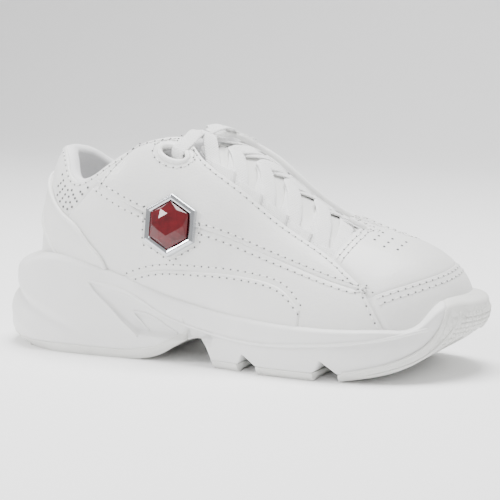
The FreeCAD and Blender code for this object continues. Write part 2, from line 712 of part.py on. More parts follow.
outer_pad_low = line(OUTER_PAD_LOW[::-1] + OUTER_EYESTAY[1:])
inner_pad_low = line(INNER_PAD_LOW[::-1] + INNER_EYESTAY[1:])
LINING_START = 0.035
keep(panel("lateral_lining",
           between(edge_line(LINING_START, OUTER_FRONT), outer_pad_low), "lining", 30, 8))
keep(panel("medial_lining",
           between(edge_line(1 - LINING_START, INNER_FRONT), inner_pad_low), "lining", 30, 8))
heel_lining_top = line([(30, -13, PAD_FLOOR), PAD_LOW_BACK, (30, 13, PAD_FLOOR)], around_heel=True)
keep(panel("heel_lining",
           between(edge_line(LINING_START, -LINING_START), heel_lining_top), "lining", 12, 6))
keep(panel("heel_counter",
           between(edge_line(OUTER_BACK, INNER_BACK - 1),
                   both_sides([(60, -29, 46), (48, -26, 54), (34, -18, 58)], (20.5, 0, 59),
                              [(60, 26, 46), (48, 25, 54), (34, 18, 58)])), "stiffener", 24, 6))

pad_low = both_sides(OUTER_PAD_LOW, PAD_LOW_BACK, INNER_PAD_LOW)
pad_top = both_sides([(98, -15, 96), (88, -17, 99)] + OUTER_TAB_TOP[:1] + OUTER_COLLAR_TOP[1:],
                     HEEL_TOP,
                     [(108, 15, 96), (98, 18, 100)] + INNER_TAB_TOP[:1] + INNER_COLLAR_TOP[1:])
pad_patch = between(pad_low, pad_top)


def collar_part(label, depth_in, depth_out):
    """Padded collar's layer, with the openings of both top eyelets."""
    part = doc.addObject("Part::Feature", label)
    shape = panel_shape(pad_patch, depth_in, depth_out, 56, 8, 0.01)
    part.Shape = shape.cut(outer_oval).cut(inner_oval).Solids[0]
    return keep(settle_part(part, label))


collar_part("collar_padding", size("collar_pad_in"), size("stiffener_out"))
collar_part("collar_lining", size("collar_lining_in"), size("collar_pad_in") - BED_GAP)

# ------------------------------------------------------------------------------------- tongue
TONGUE_START, TONGUE_END = 93.0, 165.0
TONGUE_TUCK = 0.07                # how far the tongue reaches in under the throat's edges


def throat_edge(points):
    """How far down from the ridge a throat edge lies, as a function of the ridge's x."""
    places = [settle(Vector(*p)) for p in points]
    stations = [edge_at(place)[7] for place, _ in places]
    curve = spline(stations, [[1 - rise] for _, rise in places])
    return lambda x: curve(min(max(x, stations[0]), stations[-1]))[0]


throat_halves = {-1: throat_edge(OUTER_EYESTAY[:4]), 1: throat_edge(INNER_EYESTAY[:5])}


def throat_side(ridge_x, side, tuck=0.0):
    """Signed distance from the ridge to the throat's edge on one side."""
    return side * (throat_halves[side](ridge_x) + tuck)


def tongue_place(a, b):
    """Place on the tongue: a runs from its top to its root, b from outer to inner side."""
    ridge_x = TONGUE_START + (TONGUE_END - TONGUE_START) * a
    outer = throat_side(ridge_x, -1, TONGUE_TUCK)
    inner = throat_side(ridge_x, 1, TONGUE_TUCK)
    return over_ridge(ridge_x, outer + (inner - outer) * b + 1e-6)


depth = size("tongue_out")
for label, word in (("tongue", "leather"), ("tongue_padding", "padding"),
                    ("tongue_lining", "lining")):
    layer = doc.addObject("Part::Feature", label)
    inner = depth - size(f"tongue_{word}")
    layer.Shape = panel_shape(tongue_place, inner, depth, 18, 16, 0.01)
    keep(settle_part(layer, label))
    depth = inner - BED_GAP

# --------------------------------------------------------------------------- laces and loops
LOOP_STATIONS = (102.0, 115.0, 128.0, 141.0, 157.0)
LOOP_WIDTH = 11.5
LOOP_SHOWS, LOOP_HIDDEN = 0.05, 0.1
LACE_OFFSET = 3.3                 # the two laces at a loop lie beside each other
LACE_TUCK = 0.05                  # how far a lace runs in under the edge
CROSS_HUMP = 1.35                 # the upper lace steps over the lower one


def strip_place(start, end, width):
    """Patch for a strip across the throat: start and end are (ridge x, side) pairs."""
    def place(a, b):
        ridge_x = start[0] + (end[0] - start[0]) * a + width * (b - 0.5)
        return over_ridge(ridge_x, start[1] + (end[1] - start[1]) * a + 1e-6)
    return place


def lace_hump(height):
    """Rise of a lace over its middle, nothing at its ends."""
    return lambda a: height * math.sin(math.pi * a) ** 4


def tucked(ridge_x, side):
    """End of a lace under the throat's edge."""
    return ridge_x, throat_side(ridge_x, side, LACE_TUCK)


for label, side in (("lateral_lace_loops", -1), ("medial_lace_loops", 1)):
    part = doc.addObject("Part::Feature", label)
    tabs = [
        panel_shape(strip_place((x, throat_side(x, side, -LOOP_SHOWS)),
                                (x, throat_side(x, side, LOOP_HIDDEN)), LOOP_WIDTH),
                    size("loop_in"), size("loop_out"), 4, 3)
        for x in LOOP_STATIONS
    ]
    part.Shape = Part.makeCompound(tabs)
    keep(settle_part(part, label))

lace = doc.addObject("Part::Feature", "lace")
bars = []


def lace_bar(start, end, lift):
    """One bar of the lace between two places."""
    patch = strip_place(start, end, size("lace_width"))
    return panel_shape(patch, size("lace_in"), size("lace_out"), 16, 3, 0.01, lift)


for near, far in zip(LOOP_STATIONS, LOOP_STATIONS[1:]):
    for side, hump in ((-1, 0.0), (1, CROSS_HUMP)):
        bars.append(lace_bar(tucked(near + LACE_OFFSET, side), tucked(far - LACE_OFFSET, -side),
                             lace_hump(hump)))
root_x = LOOP_STATIONS[-1] + LACE_OFFSET
bars.append(lace_bar(tucked(root_x, -1), tucked(root_x, 1), None))


def top_bar(eyelet, side, hump):
    """Lace from a top eyelet, over the quarter's edge, to the first loop of the other side."""
    place, rise = settle(Vector(*eyelet))
    start = (edge_at(place)[7], side * (1 - rise))
    over = size("overlay_in") + 0.3 - size("lace_in")
    middle = lace_hump(hump)

    def lift(a):
        ease = min(1.0, max(0.0, (a - 0.3) / 0.45))
        return over * (1 - ease * ease * (3 - 2 * ease)) + middle(a)
    return lace_bar(start, tucked(LOOP_STATIONS[0] - LACE_OFFSET, -side), lift)


bars.append(top_bar(OUTER_EYELET, -1, 0.0))
bars.append(top_bar(INNER_EYELET, 1, 1.6))
lace.Shape = Part.makeCompound(bars)
keep(settle_part(lace, "lace"))

# ------------------------------------------------------------------------ bodies on the upper
def seated(body, frame, lift):
    """Seat a body on the upper: its sketch plane goes to a frame, lifted off the surface."""
    normal = frame.Rotation.multVec(Vector(0, 0, 1))
    seat = frame.Base + normal * lift
    move = Vector(-size("half_length"), size("side_shift"), 0)
    body.Placement = Placement(seat + move, frame.Rotation)
    return body


def ngon(radius, sides=6):
    """Corners of a regular outline."""
    return [(radius * math.cos(math.tau * k / sides), radius * math.sin(math.tau * k / sides))
            for k in range(sides)]


def pad(body, label, sketch, length, reverse=False):
    """Pad of a sketch whose length is bound to the sheet."""
    feature = body.newObject("PartDesign::Pad", label)
    feature.Profile = sketch
    feature.Reversed = reverse
    feature.setExpression("Length", length)
    return feature


def oval_sketch(body, label, long_half, short_half):
    """Sketch of one oval on a body's base plane."""
    sketch = profile_sketch(body, "XY_Plane", label, [])
    sketch.addGeometry(Part.Ellipse(Vector(), long_half, short_half))
    return sketch


for label, frame in (("lateral_eyelet_ring", outer_eyelet_frame),
                     ("medial_eyelet_ring", inner_eyelet_frame)):
    ring = doc.addObject("PartDesign::Body", label)
    long_half, short_half = size("eyelet_long") / 2, size("eyelet_short") / 2
    inset = 0.15
    outer = oval_sketch(ring, f"{label}_outer", long_half - inset, short_half - inset)
    outer.addGeometry(Part.Ellipse(Vector(), long_half - size("eyelet_rim"),
                                   short_half - size("eyelet_rim")))
    pad(ring, f"{label}_pad", outer, "Sizes.eyelet_depth")
    ring.Label = label
    keep(seated(ring, frame, 12 + 1.9))

GEM_PLACE = (95, -30, 59)
gem_round, gem_rise = settle(Vector(*GEM_PLACE))
gem_base = skin_point(gem_round, gem_rise, 0.0)
gem_normal = (skin_point(gem_round, gem_rise, 1.0) - gem_base).normalize()
gem_up = (Vector(0, 0, 1) - gem_normal * gem_normal.z).normalize()
gem_frame_place = Placement(gem_base, Rotation(gem_up, gem_normal.cross(gem_up), gem_normal, "ZXY"))

frame_body = doc.addObject("PartDesign::Body", "gem_frame")
rim_radius = size("gem_across") / 2 + size("gem_fit") + size("gem_rim")
plate_sketch = profile_sketch(frame_body, "XY_Plane", "gem_plate", closed(ngon(rim_radius)))
pad(frame_body, "gem_plate_pad", plate_sketch, "Sizes.gem_frame_depth")
seat_sketch = profile_sketch(frame_body, "XY_Plane", "gem_seat", closed(
    ngon(size("gem_across") / 2 + size("gem_fit"))))
seat_sketch.AttachmentOffset = Placement(Vector(0, 0, size("gem_back")), Rotation())
doc.recompute()
solid_before = frame_body.Shape.Volume
seat_pocket = frame_body.newObject("PartDesign::Pocket", "gem_seat_pocket")
seat_pocket.Profile = seat_sketch
seat_pocket.Reversed = True
seat_pocket.Length = size("gem_frame_depth")
doc.recompute()
assert frame_body.Shape.Volume < solid_before, "the gem's seat is not cut"
keep(seated(frame_body, gem_frame_place, size("overlay_in") + 0.1))

insert_body = doc.addObject("PartDesign::Body", "gem_insert")
girdle = profile_sketch(insert_body, "XY_Plane", "gem_outline", closed(
    ngon(size("gem_across") / 2)))
pad(insert_body, "gem_girdle_pad", girdle, "Sizes.gem_girdle")
crown = insert_body.newObject("PartDesign::AdditiveLoft", "gem_crown")
crown_low = profile_sketch(insert_body, "XY_Plane", "crown_low", closed(
    ngon(size("gem_across") / 2)))
crown_low.AttachmentOffset = Placement(Vector(0, 0, size("gem_girdle")), Rotation())
crown_high = profile_sketch(insert_body, "XY_Plane", "crown_high", closed(
    ngon(size("gem_across") / 5)))
crown_high.AttachmentOffset = Placement(
    Vector(0, 0, size("gem_girdle") + size("gem_dome")), Rotation())
crown.Profile = crown_low
crown.Sections = [crown_high]
keep(seated(insert_body, gem_frame_place, size("overlay_in") + 0.1 + size("gem_back") +
            size("gem_fit")))


# --------------------------------------------------------------------------------- writing out
doc.recompute()
for item in doc.Objects:
    if "Invalid" in item.State or "Error" in item.State:
        raise RuntimeError(f"{item.Name} failed: {item.State}")
for part in made:
    if part.Shape.isNull() or not part.Shape.isValid() or part.Shape.Volume <= 0:
        raise RuntimeError(f"{part.Label} has no sound shape")

os.makedirs("parts", exist_ok=True)
for part in made:
    part.Shape.exportStep(f"parts/{part.Label}.step")
    print(f"{part.Label}: {len(part.Shape.Solids)} solid(s), {part.Shape.Volume / 1000:.2f} cm3")
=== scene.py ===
import logging
import math
from collections.abc import Callable, Sequence
from dataclasses import dataclass, field
from enum import Enum

import bmesh
import bpy
import numpy as np
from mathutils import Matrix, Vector


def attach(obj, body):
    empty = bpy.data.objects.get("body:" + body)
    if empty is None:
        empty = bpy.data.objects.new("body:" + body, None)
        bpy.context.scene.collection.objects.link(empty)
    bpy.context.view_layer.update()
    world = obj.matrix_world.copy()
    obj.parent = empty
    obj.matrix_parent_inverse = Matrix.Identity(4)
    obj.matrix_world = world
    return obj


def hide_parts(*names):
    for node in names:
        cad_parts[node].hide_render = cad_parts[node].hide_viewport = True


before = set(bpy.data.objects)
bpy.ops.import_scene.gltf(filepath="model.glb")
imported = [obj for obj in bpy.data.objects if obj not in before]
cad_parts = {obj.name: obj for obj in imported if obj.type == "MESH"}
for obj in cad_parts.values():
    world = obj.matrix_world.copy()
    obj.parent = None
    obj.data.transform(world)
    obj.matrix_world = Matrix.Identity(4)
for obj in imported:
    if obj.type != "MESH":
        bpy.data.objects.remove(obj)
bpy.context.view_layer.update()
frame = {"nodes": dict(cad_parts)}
LOG = logging.getLogger("cheer_shoe")

# A child's cheer shoe for the right foot. Sizes are in millimetres in the maker's frame: x runs
# from the back of the heel to the toe, the outer side is at negative y, and the ground is z = 0.
# A mesh is moved to the shoe's own frame, in metres, only when it is made.
SHIFT = np.array((-111.5, 1.25, 0.0))
MM = 0.001

Array = np.ndarray
Line = Callable[[Array], Array]
Patch = Callable[[Array, Array], Array]


class Side(Enum):
    """The two sides of a right shoe."""

    OUTER = -1
    INNER = 1


class Body(Enum):
    """The shoe's bodies, as the joints name them."""

    SHOE = "shoe"
    TONGUE = "tongue"
    SOCKLINER = "sockliner"
    GEM = "gem_insert"


def ease(value: Array) -> Array:
    """Smooth step from 0 to 1."""
    value = np.clip(value, 0.0, 1.0)
    return value * value * (3 - 2 * value)


def unit(vectors: Array) -> Array:
    """Rows of vectors, each made one long."""
    return vectors / np.maximum(np.linalg.norm(vectors, axis=-1, keepdims=True), 1e-9)


# ---------------------------------------------------------------------------------------------
# Curves and the foot's surface
# ---------------------------------------------------------------------------------------------
class Spline:
    """Natural cubic curve through rows of numbers at rising knots."""

    def __init__(self, knots: Sequence[float], rows: Sequence[Sequence[float]]) -> None:
        """Fit the curve.

        Args:
            knots: Rising places of the rows.
            rows: One row of numbers for each knot.
        """
        self.knots = np.asarray(knots, float)
        self.rows = np.asarray(rows, float).reshape(len(self.knots), -1)
        gaps = np.diff(self.knots)
        slopes = np.diff(self.rows, axis=0) / gaps[:, None]
        left, right = np.eye(len(self.knots)), np.zeros_like(self.rows)
        for i in range(1, len(gaps)):
            left[i, i - 1:i + 2] = gaps[i - 1], 2 * (gaps[i - 1] + gaps[i]), gaps[i]
            right[i] = 6 * (slopes[i] - slopes[i - 1])
        self.bends = np.linalg.solve(left, right)

    def __call__(self, at: Array) -> Array:
        """Rows of the curve at some knots, as an array with one more axis."""
        at = np.asarray(at, float)
        i = np.clip(np.searchsorted(self.knots, at, side="right") - 1, 0, len(self.knots) - 2)
        gap = self.knots[i + 1] - self.knots[i]
        q = (at - self.knots[i]) / gap
        p = 1 - q
        near, far = (p ** 3 - p) * gap ** 2 / 6, (q ** 3 - q) * gap ** 2 / 6
        return (p[..., None] * self.rows[i] + q[..., None] * self.rows[i + 1]
                + near[..., None] * self.bends[i] + far[..., None] * self.bends[i + 1])


def chord_knots(points: Sequence[Sequence[float]]) -> Array:
    """Knots from 0 to 1 that grow with the distance along some points."""
    runs = np.linalg.norm(np.diff(np.asarray(points, float), axis=0), axis=1)
    knots = np.concatenate(([0.0], np.cumsum(runs)))
    return knots / knots[-1]


def ring_spline(knots: Array, rows: Array, overlap: int = 6) -> Spline:
    """Smooth curve for rows that close on themselves after a knot of 1."""
    wide = np.concatenate((knots[-overlap:] - 1, knots, knots[:overlap] + 1))
    return Spline(wide, np.concatenate((rows[-overlap:], rows, rows[:overlap])))


def half_knots(points: Array, toe: int) -> Array:
    """Knots of a ring of points that are 0 at the heel and 0.5 at the toe."""
    runs = np.linalg.norm(np.roll(points, -1, axis=0) - points, axis=1)
    shares = np.concatenate((runs[:toe] / runs[:toe].sum(), runs[toe:] / runs[toe:].sum())) / 2
    return np.concatenate(([0.0], np.cumsum(shares)[:-1]))


def space_line(points: Sequence[Sequence[float]]) -> Spline:
    """Smooth curve through points in space, from 0 to 1."""
    return Spline(chord_knots(points), points)


@dataclass
class FootForm:
    """The foot's surface that every layer of the upper follows.

    A place is a pair: how far round the foot's edge (0 heel, 0.5 toe by the outer side, 1 heel
    again) and how far up from that edge to the ridge over the foot (0 to 1).
    """

    # Round the foot: the edge's x, y, z, how the wall leans out and rises, how the top reaches
    # down towards it (pull, drop), and the x at which it ends on the ridge.
    stations: tuple = (
        (19, 0, 31, -4.0, 24, 17, 10, 36), (26, -18, 31, -1.0, 24, 18, 6, 40),
        (46, -25.5, 30, 5.0, 24, 24, 2, 55), (70, -27, 28, 6.0, 26, 30, 0, 76),
        (95, -27.5, 24, 7.0, 30, 36, -2, 92), (118, -29, 18, 8.5, 30, 34, 0, 115),
        (140, -33, 14, 8.5, 25, 31, 1, 138), (166, -36, 13, 6.5, 21, 27, 1, 164),
        (189, -32, 14, 4.5, 20, 22, 0, 180), (204.5, -18, 16, 4.0, 20, 20, 0, 185),
        (212.5, 5, 18, 3.5, 20, 20, 0, 186), (209, 20.5, 17, 4.0, 20, 20, 0, 185),
        (195, 30.5, 15, 4.0, 20, 20, 0, 180), (170, 34.5, 13, 5.0, 22, 22, 0, 166),
        (145, 33, 14, 6.0, 30, 26, -3, 141), (118, 27, 19, 7.5, 42, 32, -11, 115),
        (95, 22.5, 25, 8.5, 42, 34, -11, 92), (70, 22.5, 28, 8.0, 28, 25, 0, 76),
        (46, 24, 30, 5.0, 24, 22, 2, 55), (26, 17, 31, -1.0, 24, 18, 6, 40),
    )
    ridge: tuple = (
        (36, 0, 96), (55, 0, 99), (76, 2, 99), (92, 3, 94.5), (115, 4.5, 86.5),
        (138, 6, 73.5), (164, 7.5, 60), (186, 8, 52.5),
    )
    toe_station: int = 10
    pole: float = 0.985             # rise at which the surface's normal is still well defined

    def __post_init__(self) -> None:
        """Fit the curves and lay out the search grid."""
        rows = np.asarray(self.stations, float)
        self.edge = ring_spline(half_knots(rows[:, :2], self.toe_station), rows)
        top = np.asarray(self.ridge, float)
        self.top = Spline(top[:, 0], top[:, 1:])
        place, rise = np.meshgrid(np.arange(144) / 144, np.linspace(0, 1, 29), indexing="ij")
        self.grid_places = np.stack((place.ravel(), rise.ravel()), axis=1)
        self.grid_points = self.point(self.grid_places[:, 0], self.grid_places[:, 1])

    def ridge_point(self, x: Array) -> Array:
        """Points of the foot's top line."""
        x = np.clip(x, self.ridge[0][0], self.ridge[-1][0])
        return np.concatenate((x[..., None], self.top(x)), axis=-1)

    def point(self, place: Array, rise: Array) -> Array:
        """Points of the foot's surface."""
        place, rise = np.broadcast_arrays(np.asarray(place, float), np.asarray(rise, float))
        place = place % 1.0
        row = self.edge(place)
        along = unit((self.edge(place + 0.001) - self.edge(place - 0.001))[..., :2])
        low = row[..., :3]
        low_handle = low + np.stack(
            (along[..., 1] * row[..., 3], -along[..., 0] * row[..., 3], row[..., 4]), axis=-1)
        high = self.ridge_point(row[..., 7])
        top_along = unit(self.ridge_point(row[..., 7] + 0.5) - self.ridge_point(row[..., 7] - 0.5))
        top_normal = unit(np.cross(top_along, (0.0, 1.0, 0.0)))
        down = low - high
        down = unit(down - top_normal * (down * top_normal).sum(-1, keepdims=True))
        high_handle = high + down * row[..., 5:6] - row[..., 6:7] * np.array((0.0, 0.0, 1.0))
        v = rise[..., None]
        u = 1 - v
        return (low * u ** 3 + low_handle * (3 * u * u * v) + high_handle * (3 * u * v * v)
                + high * v ** 3)

    def normal(self, place: Array, rise: Array) -> Array:
        """Outward normals of the foot's surface."""
        step, sure = 0.002, np.minimum(rise, self.pole)
        across = self.point(place + step, sure) - self.point(place - step, sure)
        upward = (self.point(place, np.minimum(sure + step, 1))
                  - self.point(place, np.maximum(sure - step, 0)))
        return unit(np.cross(across, upward))

    def skin(self, places: Array, depth: Array | float) -> Array:
        """Points at a depth outwards from the surface, for an array of places."""
        place, rise = places[..., 0], places[..., 1]
        depth = np.broadcast_to(np.asarray(depth, float), place.shape)
        return self.point(place, rise) + self.normal(place, rise) * depth[..., None]

    def settle(self, goals: Sequence[Sequence[float]]) -> Array:
        """Places of the surface that are nearest to some points."""
        goals = np.asarray(goals, float).reshape(-1, 3)
        far = ((goals[:, None, :] - self.grid_points[None]) ** 2).sum(-1)
        place, rise = self.grid_places[far.argmin(1)].T.copy()
        step = 0.0005
        for _ in range(8):
            miss = goals - self.point(place, rise)
            by_place = self.point(place + step, rise) - self.point(place - step, rise)
            by_rise = self.point(place, rise + step) - self.point(place, rise - step)
            by_place, by_rise = by_place / (2 * step), by_rise / (2 * step)
            a, c = (by_place ** 2).sum(-1) + 1.0, (by_rise ** 2).sum(-1) + 0.01
            b = (by_place * by_rise).sum(-1)
            e, f = (by_place * miss).sum(-1), (by_rise * miss).sum(-1)
            det = a * c - b * b
            place = place + np.clip((e * c - b * f) / det, -0.01, 0.01)
            rise = np.clip(rise + np.clip((a * f - b * e) / det, -0.04, 0.04), 0.0, 0.998)
        return np.stack((place % 1.0, rise), axis=1)

    def line(self, points: Sequence[Sequence[float]], around_heel: bool = False) -> Line:
        """Curve on the surface near some points.

        Args:
            points: Points near the surface, in order.
            around_heel: Whether the curve passes the heel, where the place jumps from 1 to 0.

        Returns:
            The curve, from 0 to 1, as places.
        """
        places = self.settle(points)
        if around_heel:
            places[:, 0] = np.where(places[:, 0] > 0.5, places[:, 0] - 1, places[:, 0])
        return Spline(chord_knots(points), places)

    def edge_line(self, start: float, end: float) -> Line:
        """Stretch of the foot's edge between two places round the foot."""
        return lambda a: np.stack((start + (end - start) * np.asarray(a),
                                   np.zeros_like(np.asarray(a, float))), axis=-1)

    def edge_place(self, x: float, y: float, z: float) -> float:
        """Place round the foot of the surface's point nearest to the given one."""
        return float(self.settle([(x, y, z)])[0, 0])

    def station_of(self, ridge_x: Array, outer_side: Array) -> Array:
        """Places round the foot whose walls end at given x of the ridge."""
        low, high = np.where(outer_side, 0.0, 1.0), np.full(np.shape(ridge_x), 0.5)
        for _ in range(34):
            middle = (low + high) / 2
            short = self.edge(middle)[..., 7] < ridge_x
            low, high = np.where(short, middle, low), np.where(short, high, middle)
        return (low + high) / 2

    def over_ridge(self, ridge_x: Array, side: Array) -> Array:
        """Places over the top of the foot, with side from -1 (outer edge) to 1 (inner edge)."""
        ridge_x, side = np.broadcast_arrays(ridge_x, side)
        return np.stack((self.station_of(ridge_x, side < 0), 1 - np.abs(side)), axis=-1)


def between(lower: Line, upper: Line) -> Patch:
    """Patch of the surface ruled between two curves on it, and beyond them."""
    def place(a: Array, b: Array) -> Array:
        """Place at a share along both curves and a share across."""
        low, high = lower(a), upper(a)
        return low + (high - low) * b[..., None]
    return place


def woven_patch(form: FootForm, near: Spline, far: Spline) -> Patch:
    """Patch of the surface under the ruled sheet between two curves in space."""
    a_knots, b_knots = np.linspace(0, 1, 13), np.linspace(0, 1, 9)
    rows = []
    for b in b_knots:
        goals = near(a_knots) * (1 - b) + far(a_knots) * b
        rows.append(form.settle(goals))
    net = np.stack(rows, axis=1)                       # a, b, 2
    by_a = Spline(a_knots, net.reshape(len(a_knots), -1))

    def place(a: Array, b: Array) -> Array:
        """Place at a share along and a share across."""
        a, b = np.broadcast_arrays(a, b)
        columns = by_a(a.ravel()).reshape(-1, len(b_knots), 2)
        flat = b.ravel()
        i = np.clip((flat * (len(b_knots) - 1)).astype(int), 0, len(b_knots) - 2)
        share = flat * (len(b_knots) - 1) - i
        rows_at = np.arange(len(flat))
        mix = columns[rows_at, i] * (1 - share)[:, None] + columns[rows_at, i + 1] * share[:, None]
        return mix.reshape(*a.shape, 2)
    return place


# ---------------------------------------------------------------------------------------------
# Meshes
# ---------------------------------------------------------------------------------------------
@dataclass
class Draft:
    """A mesh before it is made: points in millimetres, faces, and what its points carry."""

    points: list = field(default_factory=list)
    faces: list = field(default_factory=list)
    uvs: list = field(default_factory=list)            # one (u, v) for each face corner
    values: dict = field(default_factory=dict)         # attribute name: one number per point
    count: int = 0

    def add_net(self, net: Array, uv: Array | None = None, closed: bool = False,
                **values: Array) -> int:
        """Add a net of points and the faces between them.

        Args:
            net: Points, rows by columns by 3.
            uv: Flat places of the net's corners, with one more column where it is closed.
            closed: Whether each row closes on itself.
            **values: Numbers that the points carry, rows by columns.

        Returns:
            The number of the net's first point.
        """
        rows, columns = net.shape[:2]
        first = self.count
        self.points.append(net.reshape(-1, 3))
        self.count += rows * columns
        i, j = np.meshgrid(np.arange(rows - 1), np.arange(columns if closed else columns - 1),
                           indexing="ij")
        i, j = i.ravel(), j.ravel()
        k = (j + 1) % columns
        self.faces += (first + np.stack((i * columns + j, (i + 1) * columns + j,
                                         (i + 1) * columns + k, i * columns + k), axis=1)).tolist()
        if uv is None:
            uv = np.zeros((rows, columns + 1, 2))
        corners = np.stack((uv[i, j], uv[i + 1, j], uv[i + 1, j + 1], uv[i, j + 1]), axis=1)
        self.uvs += corners.reshape(-1, 2).tolist()
        for word, numbers in values.items():
            self.values.setdefault(word, []).append(np.asarray(numbers, float).reshape(-1))
        return first

    def add_face(self, corners: Sequence[int]) -> None:
        """Add one face over points that are already there."""
        self.faces.append(list(corners))
        self.uvs += [(0.0, 0.0)] * len(corners)

    def make(self, name: str, finish: bpy.types.Material, merge: float = 0.0,
             smooth: bool = True, sort: bool = True) -> bpy.types.Object:
        """Make the object.

        Args:
            name: The piece's name.
            finish: Its material.
            merge: Distance in millimetres within which points become one.
            smooth: Whether it is shaded smooth.
            sort: Whether its faces are turned outwards, which a closed mesh allows.

        Returns:
            The object, at the origin, with its place in its mesh.
        """
        mesh = bpy.data.meshes.new(name)
        points = (np.concatenate(self.points) + SHIFT) * MM
        mesh.from_pydata(points.tolist(), [], self.faces)
        layer = mesh.uv_layers.new(name="UVMap")
        layer.data.foreach_set("uv", np.asarray(self.uvs, np.float32).ravel())
        for word, numbers in self.values.items():
            attribute = mesh.attributes.new(word, "FLOAT", "POINT")
            attribute.data.foreach_set("value", np.concatenate(numbers).astype(np.float32))
        work = bmesh.new()
        work.from_mesh(mesh)
        if merge:
            bmesh.ops.remove_doubles(work, verts=work.verts, dist=merge * MM)
            bmesh.ops.dissolve_degenerate(work, edges=work.edges, dist=1e-7)
        if sort:
            bmesh.ops.recalc_face_normals(work, faces=work.faces)
        for face in work.faces:
            face.smooth = smooth
        work.to_mesh(mesh)
        work.free()
        mesh.materials.append(finish)
        piece = bpy.data.objects.new(name, mesh)
        bpy.context.scene.collection.objects.link(piece)
        return piece


def slab(draft: Draft, outer: Array, inner: Array, uv: Array | None = None,
         **values: Array) -> None:
    """Add the closed solid between two nets with the same rows and columns.

    Args:
        draft: The mesh that it goes into.
        outer: The net on the outside.
        inner: The net on the inside.
        uv: Flat places of both nets' corners.
        **values: Numbers that the outer net's points carry; the inner net carries the same.
    """
    rows, columns = outer.shape[:2]
    top = draft.add_net(outer, uv, **values)
    low = draft.add_net(inner[:, ::-1], None if uv is None else uv[:, ::-1],
                        **{word: numbers[:, ::-1] for word, numbers in values.items()})

    def at(net: int, i: int, j: int) -> int:
        """Index of a net's corner, with both nets counted in the same direction."""
        return top + i * columns + j if net == 0 else low + i * columns + columns - 1 - j
    for i in range(rows - 1):
        for j in (0, columns - 1):
            draft.add_face((at(0, i, j), at(1, i, j), at(1, i + 1, j), at(0, i + 1, j)))
    for j in range(columns - 1):
        for i in (0, rows - 1):
            draft.add_face((at(0, i, j), at(0, i, j + 1), at(1, i, j + 1), at(1, i, j)))


def rod(draft: Draft, path: Array, normals: Array, wide: float, high: float,
        sides: int = 10, flatness: float = 2.0) -> None:
    """Add a rounded bar that follows a path on a surface.

    Args:
        draft: The mesh that it goes into.
        path: The middle of the bar.
        normals: Its upward direction at each point.
        wide: Its whole width.
        high: Its whole height.
        sides: Corners of its section.
        flatness: 2 for an oval section; more squares it.
    """
    along = unit(np.gradient(path, axis=0))
    across = unit(np.cross(normals, along))
    upward = np.cross(along, across)
    turn = np.linspace(0, math.tau, sides, endpoint=False)
    power = 2 / flatness
    y = np.sign(np.cos(turn)) * np.abs(np.cos(turn)) ** power * wide / 2
    z = np.sign(np.sin(turn)) * np.abs(np.sin(turn)) ** power * high / 2
    rings = (path[:, None] + across[:, None] * y[None, :, None]
             + upward[:, None] * z[None, :, None])
    length = np.concatenate(([0], np.cumsum(np.linalg.norm(np.diff(path, axis=0), axis=1))))
    edge = np.linalg.norm(np.diff(np.stack((np.append(y, y[0]), np.append(z, z[0]))), axis=1),
                          axis=0)
    girth = np.concatenate(([0], np.cumsum(edge)))
    uv = np.stack(np.meshgrid(length, girth, indexing="ij"), axis=-1) * MM
    first = draft.add_net(rings, uv, closed=True)
    last = first + (len(path) - 1) * sides
    draft.add_face([first + k for k in range(sides)])
    draft.add_face([last + k for k in reversed(range(sides))])


def dress(piece: bpy.types.Object, body: Body, slot: str, *nodes: str) -> bpy.types.Object:
    """Tie a finished piece to its body, and hide the nodes that it stands for."""
    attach(piece, body.value)
    if nodes:
        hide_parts(*nodes)
    return piece


# ---------------------------------------------------------------------------------------------
# Materials
# ---------------------------------------------------------------------------------------------
def linear(hex_colour: str) -> tuple[float, float, float, float]:
    """Linear colour of an sRGB hex value."""
    parts = [int(hex_colour[i:i + 2], 16) / 255 for i in (1, 3, 5)]
    return (*(c / 12.92 if c <= 0.04045 else ((c + 0.055) / 1.055) ** 2.4 for c in parts), 1.0)


def add(tree: bpy.types.NodeTree, kind: str, settings: dict | None = None,
        inputs: dict | None = None) -> bpy.types.Node:
    """Add one node.

    Args:
        tree: The tree that it goes into.
        kind: Its type's name.
        settings: Properties of the node.
        inputs: Socket name or number to a value, or to an output socket to link.

    Returns:
        The node.
    """
    node = tree.nodes.new(kind)
    for word, value in (settings or {}).items():
        setattr(node, word, value)
    for word, value in (inputs or {}).items():
        if isinstance(value, bpy.types.NodeSocket):
            tree.links.new(value, node.inputs[word])
        else:
            node.inputs[word].default_value = value
    return node


